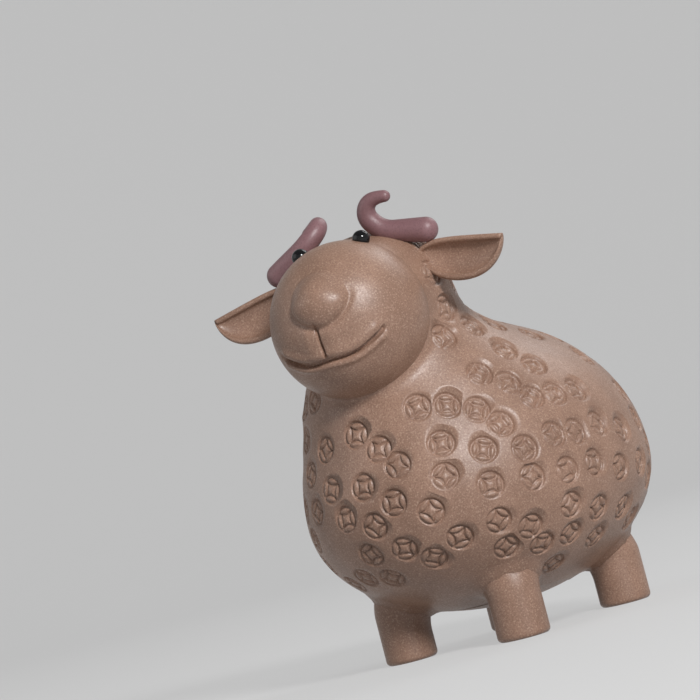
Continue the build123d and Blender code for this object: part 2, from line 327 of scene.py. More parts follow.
# The hand hole's rim on the belly, its recess, and the point that the skin is laid flat around
RIM_ROUNDS = 8
RIM_MOST = 6 * MM
RECESS_SHARE = 0.5
POLE_LEVEL = 5 * MM

# Most that the skin moves out where the legs join it, and the least width of a mark's ring
LEG_JOIN = 1.2 * MM
RING_ROOM = 0.06 * MM

# Sides of the round pieces
RIM_SIDES = 96
FLOOR_SIDES = 96
LEG_SIDES = 72
TAIL_SIDES = 56
EYE_SIDES = 48

# Rows of the eyes and the tail, how near they go to the poles, and how far they depart from round
EYE_ROWS = 33
EYE_POLE = 1.52
EYE_FLAT = 0.97
TAIL_ROWS = 41
TAIL_POLE = 1.54
TAIL_NARROW = 0.16

# Horns: steps along each part of the line, and how much of a radius its ends add for their domes
HORN_STEPS = 24
ROUGH_HORN_STEPS = 6
DOME_SHARE = 0.98

# Ears: rings, how far they stay from both ends, and steps over the back and the rim
EAR_RINGS = 60
EAR_START, EAR_END = 0.3, 0.4
EAR_BACK_STEPS = 28
EAR_RIM_STEPS = 8

# Ears: powers that open the root and close the tip, then the root's drop, the rim and the hollow
EAR_OPENING = (5, 0.5)
EAR_CLOSING = (4, 0.6)
EAR_ROOT_DROP = 0.3
EAR_RIM_SHARE = 0.42
EAR_DEPTH_POWER = 0.8
EAR_LEAST_HOLLOW = 0.05

# Legs: rings of the sole, its edge, the side and the dome, and where they run into the belly
SOLE_SHARES = (0.3, 0.6, 0.8)
EDGE_STEPS = 6
SIDE_ROWS = 16
DOME_STEPS = 15
EDGE_FREE = 1.5
JOIN_FADE = (-2.5 * MM, -0.5 * MM)

# Floor: rings of its flat part, as shares, then the curve up to the backdrop
FLOOR_SHARES = (0.05, 0.3, 0.7, 1.0)
FLOOR_CURVE = 0.25
CURVE_STEPS = 12

# Material and slot of each finish
BROWN = ("sandy_brown_clay", "brown_clay")
PURPLE = ("sandy_purple_clay", "purple_clay")
BLACK = ("black_glaze", "eye_glaze")

# Search for the skin: where its rays start, in millimetres from the body's middle, their reach
# and their steps
CORE = (0, -14.0, 49.0)
CORE_REACH = 62.0 * MM
CORE_CLEAR = 75 * MM
HALVINGS = 34
STRIDES = 90
STRIDE = 0.8
MET = 0.01 * MM
SLOPE_STEP = 0.02 * MM
LEAST_SLOPE = 0.35
TINY = 1e-12
NEAR_ZERO = 1e-9
FAR = 1.0

# Waves of the hand-pressed skin: radians for each millimetre along X, Y and Z, and their start
WAVES = (((0.21, 0.13, 0.17), 1.3), ((-0.16, 0.24, 0.11), 4.0), ((0.09, -0.2, 0.31), 2.2))

# Studio lamps: name, place from the aim, width and power
LAMPS = (
    ("key_light", (0.5, -0.26, 0.29), 0.14, 3.4),
    ("fill_light", (-0.36, -0.46, 0.32), 0.5, 0.55),
    ("rim_light", (0.1, 0.5, 0.5), 0.35, 1.1),
)
AIM_LEVEL = 40 * MM
WORLD_LIGHT = 0.2

# Form of the smile: its sag in the plane that it lies in, where it ends, where its left is wider
SAG_DROP, SAG_AT, SAG_WIDTH = (math.radians(value) for value in (2.2, 20, 16))
SMILE_END = (1.03, 0.86)
LEFT_SIDE = (0.2, -0.4)
LEFT_WIDER = 0.5
WALL_POWER = 6

# Lips: fullness, place above the mouth and half width. Then the dimple at the smile's ends
LIPS = ((1.2, 1.1 * MM, 0.75 * MM), (1.4, -1.0 * MM, 0.55 * MM))
DIMPLE_DEPTH = 0.4 * MM
DIMPLE_WIDTH = 0.55 * MM

# Cleft and the cheeks beside it: where they are, and the levels in degrees where they fade
CLEFT_TURN = math.radians(1.4)
CLEFT_FOOT = (-29.5, -26.5)
CLEFT_TOP = (1.5, -3.5)
CHEEK_RISE, CHEEK_WAY, CHEEK_WIDTH = (value * MM for value in (0.3, 1.9, 1.5))
CHEEK_FOOT = (-28, -18)
CHEEK_TOP = (2, -8)

# Nose: taper, limits of its width, height over its lower half, edge and crease
NOSE_TAPER = 0.16
NOSE_TOP_TAPER = 0.35
NOSE_WIDTHS = (0.6, 1.2)
NOSE_SIDES = (2.0 * MM, -1.5 * MM)
NOSE_TALLER = 0.3
NOSE_SOFT = 1.5
NOSE_SHARP = 0.8
CREASE_DEPTH = 0.26 * MM
CREASE_AT = 1.03
CREASE_WIDTH = 0.14

# Steps round the muzzle and over it, in degrees: from, to and step
MUZZLE_COLUMNS = (
    ((-180, -60), 3.0), ((-60, -14), 0.85), ((-14, 14), 0.4), ((14, 60), 0.85), ((60, 180), 3.0),
)
MUZZLE_ROWS = (
    ((-88, -12), 3.0), ((-12, 6), 1.2), ((6, 9), 0.5), ((9, 17), 0.2), ((17, 24), 0.5),
    ((24, 88), 1.15),
)

# Clay: noise as size, detail and roughness, and the levels between which it shows
CLOUDS = (9 * MM, 3.0, 0.55)
CLOUD_LEVELS = (0.35, 0.68)
CLOUD_SHARE = 0.55
GRAIN_NOISE = (2.0, 0.6)
DARK_LEVELS = (0.36, 0.5)
DARK_GRAINS = 0.55
SPECK_LEVELS = (0.56, 0.68)
BROWN_SPECKS = 0.5
PURPLE_SPECKS = 0.2

# Clay: its fine grit, its shiny spots and the tooth of its skin
GRIT_SIZE = 0.55
GRIT_NOISE = (1.0, 0.5)
SHINE_SPOT = 4 * MM
SHINE_CHANGE = 0.16
DARK_DULLER = 0.12
PURPLE_ROUGHNESS = 0.42
CLAY_SPECULAR = 0.55
TOOTH_SHARES = (0.6, 0.4)
TOOTH_DEPTH = 0.05 * MM
TOOTH_STRENGTH = 0.6

# Glaze and floor
POOLS = (0.8 * MM, 1.0)
GLAZE_ROUGHNESS = 0.04
POOL_ROUGHER = 0.04
GLAZE_SPECULAR = 0.35
FLOOR_ROUGHNESS = 0.9
BACKDROP_SHARE = 0.6

# Horn mesh: its least radius, and the distance at which its end points are joined
LEAST_SCALE = 1e-6
WELD = 5e-6

# Nearest and farthest that the camera sees, in metres
CLIP_START, CLIP_END = 0.01, 10


# Vectors and rows of numbers


def unit(rows):
    """Each row at length 1."""
    rows = np.asarray(rows, float)
    return rows / np.maximum(np.linalg.norm(rows, axis=-1, keepdims=True), TINY)


def smooth_step(low, high, value):
    """0 below low, 1 above high, and a soft rise between them."""
    share = np.clip((value - low) / (high - low), 0, 1)
    return share * share * (3 - 2 * share)


def bump(value, width):
    """A soft hill of height 1 round 0."""
    return np.exp(-((value / width) ** 2))


def smooth_union(first, second, width):
    """Distance to two forms joined by a soft fillet."""
    near = np.clip(width - np.abs(first - second), 0, None) / width
    return np.minimum(first, second) - near * near * width / 4


def turn_about(axis, turned):
    """3 by 3 rotation about X, Y or Z."""
    return np.array(Matrix.Rotation(turned, 3, axis))


def round_steps(many):
    """Even angles all round."""
    return np.arange(many) * 2 * math.pi / many


def box_corners(name):
    """Lowest and highest corner of a node."""
    return tuple(np.array(corner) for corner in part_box(name))


# The sheep's skin


class SheepForm:
    """Distances to the egg, the neck, the muzzle's ball and the legs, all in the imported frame."""

    def __init__(self, sizes, legs):
        self.sizes = sizes
        self.legs = legs
        low, high = box_corners("body_shell")
        across, along = (low[:2] + high[:2]) / 2
        self.middle = np.array([across, along, 0.0])
        self.egg_middle = np.array([across, along, sizes.belly_level])
        self.egg_half = (high - low) / 2
        self.egg_rise = high[2] - sizes.belly_level
        self.neck_middle = self.middle + (0, -sizes.neck_forward, sizes.head_level)
        self.head_axes = turn_about("Z", sizes.head_turn)
        self.neck_axes = self.head_axes @ turn_about("X", sizes.neck_lean)
        low, high = box_corners("muzzle")
        self.ball_middle = (low + high) / 2
        self.ball_radius = (high[0] - low[0]) / 2
        self.leg_middles = []
        for name in ("leg_front_left", "leg_front_right", "leg_rear_left", "leg_rear_right"):
            low, high = box_corners(name)
            self.leg_middles.append(((low + high) / 2)[:2])
        self.core = self.middle + np.array(CORE) * MM

    def egg(self, points):
        """Distance to the body's egg."""
        away = points - self.egg_middle
        drop = np.where(away[:, 2] > 0, self.egg_rise, self.sizes.belly_drop)
        halves = np.column_stack(
            [np.full(len(away), self.egg_half[0]), np.full(len(away), self.egg_half[1]), drop]
        )
        near = np.linalg.norm(away / halves, axis=1)
        slope = np.linalg.norm(away / halves**2, axis=1)
        return near * (near - 1) / np.maximum(slope, NEAR_ZERO)

    def neck(self, points):
        """Distance to the turned neck and crown."""
        sizes = self.sizes
        local = (points - self.neck_middle) @ self.neck_axes
        out = np.hypot(local[:, 0], local[:, 1])
        height = local[:, 2]
        flat = sizes.neck_radius - sizes.crown_edge
        edge = sizes.crown_rise - sizes.crown_edge
        beyond = np.maximum(out - flat, 0)
        crown = np.hypot(beyond, np.maximum(height - edge, 0)) - sizes.crown_edge
        fall = np.maximum(-height, 0)
        bend_fall = sizes.nape_radius * math.sin(sizes.nape_angle)
        bend = sizes.nape_radius - np.sqrt(
            np.maximum(sizes.nape_radius**2 - np.minimum(fall, bend_fall) ** 2, 0)
        )
        beyond_bend = np.clip(fall - bend_fall, 0, sizes.flare_drop - bend_fall)
        flare = bend + beyond_bend * math.tan(sizes.nape_angle)
        side = out - sizes.neck_radius - flare
        wall = np.where(height > edge, crown, side)
        return np.maximum(wall, -sizes.neck_drop - height)

    def ball(self, points, inset=0.0):
        """Distance to the muzzle's ball."""
        return np.linalg.norm(points - self.ball_middle, axis=1) - self.ball_radius + inset

    def leg(self, points):
        """Distance to the nearest leg."""
        nearest = np.full(len(points), FAR)
        radius, dome = self.legs.radius, self.legs.height - self.legs.radius
        for middle in self.leg_middles:
            out = np.hypot(points[:, 0] - middle[0], points[:, 1] - middle[1])
            round_top = np.hypot(out, np.maximum(points[:, 2] - dome, 0))
            nearest = np.minimum(nearest, round_top - radius)
        return nearest

    def wave(self, points):
        """The uneven skin of hand-pressed clay."""
        away = (points - self.middle) / MM
        waves = sum(np.sin(away @ way + start) for way, start in WAVES)
        return waves / len(WAVES) * self.sizes.skin_wave

    def trunk(self, points):
        """Distance to the body, the neck and the collar, before the legs join them."""
        sizes = self.sizes
        joined = smooth_union(self.egg(points), self.neck(points), sizes.nape_blend)
        inner_ball = self.ball(points, sizes.collar_inset)
        return smooth_union(joined + self.wave(points), inner_ball, sizes.collar_blend)

    def skin(self, points):
        """Distance to the whole skin, with the soft joins of the legs."""
        return smooth_union(self.trunk(points), self.leg(points), self.legs.blend)

    def slope(self, points, form):
        """Outward unit normals of a form."""
        rise = []
        for axis in range(3):
            shift = np.zeros(3)
            shift[axis] = SLOPE_STEP
            rise.append(form(points + shift) - form(points - shift))
        return unit(np.column_stack(rise))

    def settle(self, points, outward, form, rounds=5, most=2.5 * MM):
        """Points moved along outward until they lie on a form, each by at most a given way."""
        moved = np.zeros(len(points))
        for _ in range(rounds):
            here = points + moved[:, None] * outward
            steep = np.einsum("ij,ij->i", self.slope(here, form), outward)
            moved -= form(here) / np.maximum(steep, LEAST_SLOPE)
            moved = np.clip(moved, -most, most)
        return points + moved[:, None] * outward

    def cast_out(self, directions):
        """Where rays from the core leave the trunk."""
        near = np.zeros(len(directions))
        far = np.full(len(directions), CORE_REACH)
        for _ in range(HALVINGS):
            half = (near + far) / 2
            inside = self.trunk(self.core + half[:, None] * directions) < 0
            near = np.where(inside, half, near)
            far = np.where(inside, far, half)
        return self.core + near[:, None] * directions

    def cast_in(self, eye, directions, form):
        """Where rays from outside first meet a form, and which of them do."""
        walked = np.linalg.norm(eye - self.core) - CORE_CLEAR + np.zeros(len(directions))
        for _ in range(STRIDES):
            walked += STRIDE * form(eye + walked[:, None] * directions)
        points = eye + walked[:, None] * directions
        return points, np.abs(form(points)) < MET


class PhotoView:
    """The photograph's camera."""

    def __init__(self, stage, middle):
        swing, rise, roll = stage.azimuth, stage.elevation, stage.roll
        self.back = np.array(
            [
                math.sin(swing) * math.cos(rise),
                -math.cos(swing) * math.cos(rise),
                math.sin(rise),
            ]
        )
        level_right = np.array([math.cos(swing), math.sin(swing), 0.0])
        level_up = np.cross(self.back, level_right)
        self.right = math.cos(roll) * level_right - math.sin(roll) * level_up
        self.up = math.sin(roll) * level_right + math.cos(roll) * level_up
        aim = middle + (stage.aim_across, stage.aim_along, stage.aim_up)
        self.eye = aim + stage.distance * self.back
        self.focal = stage.lens / SENSOR * PICTURE

    def rays(self, pixels):
        """Unit directions through pixels of the photograph."""
        away = np.asarray(pixels, float) - PICTURE / 2
        rays = away[:, :1] * self.right - away[:, 1:] * self.up - self.focal * self.back
        return unit(rays)

    def pixels(self, points):
        """Pixels of the photograph where points show."""
        away = points - self.eye
        depth = -(away @ self.back)
        across = PICTURE / 2 + self.focal * (away @ self.right) / depth
        down = PICTURE / 2 - self.focal * (away @ self.up) / depth
        return np.column_stack([across, down])


# Places of the coin marks


def even_directions(many):
    """Unit directions spread evenly all round."""
    steps = np.arange(many) + 0.5
    height = 1 - 2 * steps / many
    swing = math.pi * (1 + math.sqrt(5)) * steps
    out = np.sqrt(1 - height**2)
    return np.column_stack([out * np.cos(swing), out * np.sin(swing), height])


class Spread:
    """Points kept apart from each other, found through cells of one size."""

    def __init__(self, cell):
        self.cell = cell
        self.kept = {}

    def home(self, point):
        """The cell that a point lies in."""
        return tuple(int(math.floor(value / self.cell)) for value in point)

    def near(self, point, reach):
        """Kept points in the cells round a point, out to a number of cells."""
        x, y, z = self.home(point)
        around = range(-reach, reach + 1)
        for i in around:
            for j in around:
                for k in around:
                    yield from self.kept.get((x + i, y + j, z + k), ())

    def free(self, point, apart):
        """True where no kept point is nearer than apart."""
        reach = int(math.ceil(apart / self.cell))
        return all(math.dist(other, point) >= apart for other in self.near(point, reach))

    def keep(self, point):
        """Adds a point."""
        self.kept.setdefault(self.home(point), []).append(tuple(point))


def skin_candidates(form, many, chance):
    """Points all over the trunk in a random order that favours no part of it."""
    directions = even_directions(many)
    points = form.cast_out(directions)
    normals = form.slope(points, form.trunk)
    away = points - form.core
    facing = np.maximum(np.einsum("ij,ij->i", unit(away), normals), LEAST_SLANT)
    area = np.einsum("ij,ij->i", away, away) / facing
    order = np.argsort(chance.exponential(size=many) / area)
    return points[order], normals[order]


def near_legs(form, points, apart):
    """True within a way of a leg's side."""
    close = np.zeros(len(points), bool)
    for middle in form.leg_middles:
        out = np.hypot(points[:, 0] - middle[0], points[:, 1] - middle[1])
        close |= (out < form.legs.radius + apart) & (points[:, 2] < LEG_TOP)
    return close


def coin_places(form, view, coins, horn_line):
    """Middles and normals of all coin marks: the photograph's own, then more where it can't see."""
    chance = np.random.default_rng(coins.seed)
    rays = view.rays(COIN_PIXELS)
    seen, met = form.cast_in(view.eye, rays, form.trunk)
    seen = seen[met & (form.ball(seen) > PHOTO_BALL_CLEAR)]
    spread = Spread(coins.spacing)
    middles = []
    for point in seen:
        if spread.free(point, coins.photo_share * coins.spacing):
            spread.keep(point)
            middles.append(point)
    points, normals = skin_candidates(form, COIN_TRIES, chance)
    pixels = view.pixels(points)
    facing = np.einsum("ij,ij->i", normals, unit(view.eye - points))
    head_pixels = view.pixels(form.ball_middle[None])[0]
    head = form.ball_radius / MM * HEAD_SCALE + HEAD_MARGIN
    pictured = (facing > LEAST_FACING) & (np.hypot(*(pixels - head_pixels).T) > head)
    for column, (first, last) in enumerate((SIDE_ACROSS, SIDE_DOWN)):
        pictured &= (pixels[:, column] > first) & (pixels[:, column] < last)
    tail = np.array(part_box("tail")).mean(axis=0)
    to_horns = np.linalg.norm(points[:, None, :] - horn_line[None, :, :], axis=2).min(axis=1)
    bare = pictured
    bare |= form.ball(points) < BALL_CLEAR
    bare |= normals[:, 2] < UNDERSIDE
    bare |= near_legs(form, points, LEG_CLEAR)
    bare |= np.linalg.norm(points - tail, axis=1) < TAIL_CLEAR
    bare |= to_horns < HORN_CLEAR
    for point in points[~bare]:
        if spread.free(point, coins.spacing):
            spread.keep(point)
            middles.append(point)
    middles = np.array(middles)
    return middles, form.slope(middles, form.trunk)


class CoinMarks:
    """Frames, depths and ring radii of all coin marks."""

    def __init__(self, form, view, coins, horn_line):
        chance = np.random.default_rng(coins.seed + 1)
        self.coins = coins
        self.middles, self.up = coin_places(form, view, coins, horn_line)
        many = len(self.middles)
        swing = chance.uniform(0, 2 * math.pi, many)
        side = unit(np.cross(self.up, chance.normal(size=(many, 3))))
        fore = np.cross(self.up, side)
        self.side = np.cos(swing)[:, None] * side + np.sin(swing)[:, None] * fore
        self.fore = np.cross(self.up, self.side)
        self.press = coins.press + chance.uniform(-1, 1, many) * coins.press_change
        slope = coins.tilt + chance.uniform(-1, 1, many) * coins.tilt_change
        lean = coins.lean + chance.uniform(-1, 1, many) * coins.lean_change
        around = unit(np.cross((0.0, 0.0, 1.0), self.up))
        upward = np.cross(self.up, around)
        self.way = np.cos(lean)[:, None] * around + np.sin(lean)[:, None] * upward
        beside = np.einsum("ij,ij->i", self.way, self.side)
        before = np.einsum("ij,ij->i", self.way, self.fore)
        self.way_flat = np.column_stack([beside, before])
        self.tilt = -slope[:, None] * self.way_flat

    def cell_limits(self, form, swing):
        """How far each mark may reach at each angle before its neighbours' half begins."""
        coins = self.coins
        widest = coins.shoulder_radius + coins.shoulder_shift + coins.shoulder_wall + coins.margin
        rays = np.cos(swing)[None, :, None] * self.side[:, None]
        rays = rays + np.sin(swing)[None, :, None] * self.fore[:, None]
        limits = np.full(rays.shape[:2], widest)
        outward = np.broadcast_to(self.up[:, None], rays.shape).reshape(-1, 3)
        for _ in range(CELL_ROUNDS):
            flat = self.middles[:, None] + limits[..., None] * rays
            settled = form.settle(flat.reshape(-1, 3), outward, form.trunk).reshape(rays.shape)
            for mark, middle in enumerate(self.middles):
                away = self.middles - middle
                apart = np.linalg.norm(away, axis=1)
                close = (apart > 0) & (apart < NEIGHBOUR_REACH * widest)
                reach = (settled[mark] - middle) @ (away[close] / apart[close][:, None]).T
                room = apart[close] / 2 - coins.cell_gap
                share = (room / np.maximum(reach, MET)).min(axis=1, initial=1.0)
                limits[mark] *= share
        return limits

    def shoulder_radii(self, swing):
        """Radius of the off-centre shoulder at each angle."""
        coins = self.coins
        facing = self.way_flat[:, :1] * np.cos(swing) + self.way_flat[:, 1:] * np.sin(swing)
        across2 = coins.shoulder_shift**2 * (1 - facing**2)
        return coins.shoulder_shift * facing + np.sqrt(coins.shoulder_radius**2 - across2)

    def petal_share(self, swing):
        """Where the petals' inner edge lies from the middle, in radii of the ring groove."""
        folded = (swing + math.pi / 4) % (math.pi / 2) - math.pi / 4
        across = np.sqrt(np.maximum(1 - 2 * np.sin(folded) ** 2, 0))
        return np.sqrt(2) * np.cos(folded) - across

    def ring_table(self, form):
        """Angles, and radii of the rings from the middle outwards, shaped mark, ring, side."""
        coins = self.coins
        swing = round_steps(coins.sides)
        line = coins.line_radius_share * coins.radius
        inner = np.minimum(self.petal_share(swing) * line, line - PETAL_GAP)
        gap = line - inner
        foot = np.minimum(coins.line_width, gap / 4)
        limits = self.cell_limits(form, swing)
        shoulder = self.shoulder_radii(swing)
        outer = np.minimum(shoulder + coins.shoulder_wall + coins.margin, limits)
        squeeze = np.minimum((outer - RING_ROOM) / coins.radius, 1.0)
        rows = [
            inner * FIRST_RING * squeeze,
            (inner - coins.line_width) * squeeze,
            inner * squeeze,
            (inner + foot) * squeeze,
            (inner + gap / 2) * squeeze,
            (line - foot) * squeeze,
            line * squeeze,
            coins.radius * squeeze,
        ]
        edge = coins.radius * squeeze
        wall_top = edge + np.minimum(coins.edge_wall, (outer - edge) * WALL_SHARE)
        shoulder = np.minimum(shoulder, outer - coins.shoulder_wall)
        shoulder = np.maximum(shoulder, wall_top + (outer - wall_top) * SHOULDER_SHARE)
        skin = shoulder + np.minimum(coins.shoulder_wall, (outer - shoulder) * SKIN_SHARE)
        return swing, np.stack([*rows, wall_top, shoulder, skin, outer], axis=1)


class FleeceMesh:
    """The stamped skin as one closed mesh, with the tool's own coordinates on each point."""

    def __init__(self, form, marks):
        self.form = form
        self.marks = marks
        self.swing, self.radii = marks.ring_table(form)
        self.rings, self.sides = self.radii.shape[1:]

    def ring_points(self):
        """All ring points and their tool coordinates, shaped mark, ring, side."""
        marks = self.marks
        x = self.radii * np.cos(self.swing)
        y = self.radii * np.sin(self.swing)
        flat = marks.middles[:, None, None] + x[..., None] * marks.side[:, None, None]
        flat = flat + y[..., None] * marks.fore[:, None, None]
        outward = np.broadcast_to(marks.up[:, None, None], flat.shape)
        shape = flat.shape
        settled = self.form.settle(flat.reshape(-1, 3), outward.reshape(-1, 3), self.form.trunk)
        return settled.reshape(shape), np.stack([x, y], axis=-1)

    def rim_points(self):
        """The hand hole's rim, as a ring on the belly."""
        sizes = self.form.sizes
        swing = round_steps(RIM_SIDES)
        radius = sizes.hole_radius + sizes.hole_gap
        ring = np.column_stack([np.cos(swing), np.sin(swing), np.zeros(RIM_SIDES)]) * radius
        ring = ring + self.form.middle + (0, 0, sizes.belly_level - sizes.belly_drop)
        down = np.tile((0.0, 0.0, -1.0), (RIM_SIDES, 1))
        return self.form.settle(ring, down, self.form.trunk, rounds=RIM_ROUNDS, most=RIM_MOST)

    def plain_points(self):
        """Points of the bare skin between the marks."""
        form, marks = self.form, self.marks
        chance = np.random.default_rng(marks.coins.seed + 2)
        points, _ = skin_candidates(form, SKIN_TRIES, chance)
        from_ball = form.ball(points)
        hidden = from_ball < -BALL_HIDES
        apart = np.full(len(points), SKIN_GAP)
        for way, gap in BALL_GAPS:
            apart[from_ball < way] = gap
        way, gap = HIDDEN_GAP
        apart[hidden & (form.neck(points) > way) & (form.egg(points) > way)] = gap
        way, gap = LEG_GAP
        apart[np.abs(form.leg(points)) < way] = gap
        mark_tree = Spread(MARK_CELL)
        reach_of = {}
        for middle, reach in zip(marks.middles, self.radii[:, -1].max(axis=1)):
            mark_tree.keep(middle)
            reach_of[tuple(middle)] = reach
        belly = form.sizes.belly_level - form.sizes.belly_drop + HOLE_ROOM
        in_hole = np.hypot(*(points - form.middle)[:, :2].T) < form.sizes.hole_radius + HOLE_MARGIN
        in_hole &= points[:, 2] < belly
        spread = Spread(SKIN_CELL)
        kept = []
        for point, gap in zip(points[~in_hole], apart[~in_hole]):
            if not self.off_marks(point, gap, mark_tree, reach_of):
                continue
            if spread.free(point, gap):
                spread.keep(point)
                kept.append(point)
        return np.array(kept)

    def off_marks(self, point, gap, tree, reach_of):
        """True where a point is clear of every coin mark."""
        room = MARK_GAP * gap
        near = tree.near(point, 1)
        return all(math.dist(other, point) >= reach_of[other] + room for other in near)

    def flatten(self, points):
        """Directions from the core, laid flat as seen from the point opposite the belly."""
        pole = unit(self.form.middle + (0, 0, POLE_LEVEL) - self.form.core)
        across = unit(np.cross(pole, (0.0, 1.0, 0.0)))
        along = np.cross(pole, across)
        directions = unit(points - self.form.core)
        spread = 1 - directions @ pole
        return np.column_stack([directions @ across, directions @ along]) / spread[:, None]

    def build(self):
        """Points, faces and the tool coordinates of every point."""
        rings, tool = self.ring_points()
        many, sides = len(rings), self.sides
        rim = self.rim_points()
        plain = self.plain_points()
        outer = rings[:, -1].reshape(-1, 3)
        skin = np.concatenate([plain, rim, outer])
        rim_start = len(plain)
        outer_start = rim_start + len(rim)
        flat = self.flatten(skin)
        loops = [(rim_start + i, rim_start + (i + 1) % len(rim)) for i in range(len(rim))]
        for mark in range(many):
            start = outer_start + mark * sides
            loops += [(start + i, start + (i + 1) % sides) for i in range(sides)]
        result = delaunay_2d_cdt([Vector(row) for row in flat], loops, [], 0, NEAR_ZERO)
        source = [origin[0] if origin else -1 for origin in result[3]]
        faces = np.array([[source[corner] for corner in face] for face in result[2]])
        if faces.min() < 0:
            raise RuntimeError("coin marks cross each other")
        owner = np.full(len(skin), -1)
        owner[rim_start:outer_start] = many
        owner[outer_start:] = np.repeat(np.arange(many), sides)
        first, second, third = owner[faces].T
        faces = faces[~((first == second) & (second == third) & (first >= 0))]
        inner_start = len(skin)
        inner = rings[:, :-1].reshape(-1, 3)
        middles_start = inner_start + len(inner)
        recess_start = middles_start + many
        recess = self.recess_points(rim)
        points = np.concatenate([skin, inner, self.marks.middles, recess])
        mark_faces = self.mark_faces(outer_start, inner_start, middles_start)
        recess_faces = self.recess_faces(rim_start, recess_start, len(rim))
        self.points = points
        skin_faces = self.outward_faces(np.concatenate([faces, mark_faces]))
        self.faces = np.concatenate([skin_faces, recess_faces])
        self.fill_tool(tool, outer_start, inner_start, middles_start, recess_start)
        return self

    def mark_faces(self, outer_start, inner_start, middles_start):
        """Triangles of all coin marks, ring by ring."""
        many, sides, rings = len(self.marks.middles), self.sides, self.rings
        mark = np.arange(many)[:, None]
        here = np.arange(sides)[None]
        ahead = (here + 1) % sides

        def ring(row, side):
            """Point numbers of one ring."""
            if row == rings - 1:
                return outer_start + mark * sides + side
            return inner_start + (mark * (rings - 1) + row) * sides + side

        faces = [np.stack([middles_start + mark + 0 * here, ring(0, here), ring(0, ahead)], -1)]
        for row in range(rings - 1):
            a, b = ring(row, here), ring(row + 1, here)
            c, d = ring(row + 1, ahead), ring(row, ahead)
            faces.append(np.stack([a, b, c], -1))
            faces.append(np.stack([a, c, d], -1))
        return np.concatenate([face.reshape(-1, 3) for face in faces])

    def recess_points(self, rim):
        """The recess behind the base disc: a wall, a smaller ring and a middle."""
        sizes = self.form.sizes
        wall = rim + (0, 0, sizes.hole_depth)
        top = wall[:, 2].max()
        shares = (RECESS_SHARE, RECESS_SHARE, 0.0)
        inner = self.form.middle + (wall - self.form.middle) * shares
        inner[:, 2] = top
        middle = self.form.middle + (0, 0, top)
        return np.concatenate([wall, inner, middle[None]])

    def recess_faces(self, rim_start, recess_start, sides):
        """Faces of the recess, from the rim inwards."""
        here = np.arange(sides)
        ahead = (here + 1) % sides
        rim, wall, inner = rim_start, recess_start, recess_start + sides
        middle = np.full(sides, recess_start + 2 * sides)
        faces = []
        for low, high in ((rim, wall), (wall, inner)):
            faces.append(np.stack([low + here, high + here, high + ahead], -1))
            faces.append(np.stack([low + here, high + ahead, low + ahead], -1))
        faces.append(np.stack([inner + here, middle, inner + ahead], -1))
        return np.concatenate(faces)

    def outward_faces(self, skin_faces):
        """Skin faces turned to look away from the core."""
        corners = self.points[skin_faces]
        looks = np.cross(corners[:, 1] - corners[:, 0], corners[:, 2] - corners[:, 0])
        inward = np.einsum("ij,ij->i", looks, corners.mean(axis=1) - self.form.core) < 0
        skin_faces = skin_faces.copy()
        skin_faces[inward] = skin_faces[inward][:, ::-1]
        return skin_faces

    def fill_tool(self, tool, outer_start, inner_start, middles_start, recess_start):
        """Tool coordinates, depth and tilt for every point, and where a tool reaches."""
        marks = self.marks
        many, sides, rings = len(marks.middles), self.sides, self.rings
        total = len(self.points)
        self.spot = np.zeros((total, 3))
        self.press = np.zeros(total)
        self.tilt = np.zeros((total, 3))
        self.stamped = np.zeros(total)
        inner_rows = np.ones((many, rings - 1, sides))
        inner_rows[:, -1] = 0
        self.spot[inner_start:middles_start, :2] = tool[:, :-1].reshape(-1, 2)
        self.spot[outer_start:inner_start, :2] = tool[:, -1].reshape(-1, 2)
        for start, each, stop in (
            (outer_start, sides, inner_start),
            (inner_start, sides * (rings - 1), middles_start),
            (middles_start, 1, recess_start),
        ):
            self.press[start:stop] = np.repeat(marks.press, each)
            self.tilt[start:stop, :2] = np.repeat(marks.tilt, each, axis=0)
        self.stamped[inner_start:middles_start] = inner_rows.ravel()
        self.stamped[middles_start:recess_start] = 1
        skin = slice(0, recess_start)
        self.outward = np.zeros((total, 3))
        self.outward[skin] = self.form.slope(self.points[skin], self.form.trunk)
        plain = slice(0, outer_start - RIM_SIDES)
        for part in (plain, slice(outer_start, recess_start)):
            self.points[part] = self.form.settle(
                self.points[part], self.outward[part], self.form.skin, most=LEG_JOIN
            )


# Node trees


class Wire:
    """One output of a node. Sums, products and the like of wires add their Math nodes."""

    def __init__(self, bench, socket):
        self.bench = bench
        self.socket = socket

    def math(self, operation, *values):
        """A Math node on this wire and other values."""
        inputs = dict(enumerate((self, *values)))
        return self.bench.node("ShaderNodeMath", {"operation": operation}, inputs)

    def __add__(self, other):
        return self.math("ADD", other)

    __radd__ = __add__

    def __sub__(self, other):
        return self.math("SUBTRACT", other)

    def __rsub__(self, other):
        return self.bench.node("ShaderNodeMath", {"operation": "SUBTRACT"}, {0: other, 1: self})

    def __mul__(self, other):
        return self.math("MULTIPLY", other)

    __rmul__ = __mul__

    def __truediv__(self, other):
        return self.math("DIVIDE", other)

    def __rtruediv__(self, other):
        return self.bench.node("ShaderNodeMath", {"operation": "DIVIDE"}, {0: other, 1: self})

    def soft(self, low, high, bottom=0.0, top=1.0):
        """A smooth step from bottom to top as this wire goes from low to high."""
        return self.bench.node(
            "ShaderNodeMapRange",
            {"interpolation_type": "SMOOTHSTEP"},
            {"Value": self, "From Min": low, "From Max": high, "To Min": bottom, "To Max": top},
        )


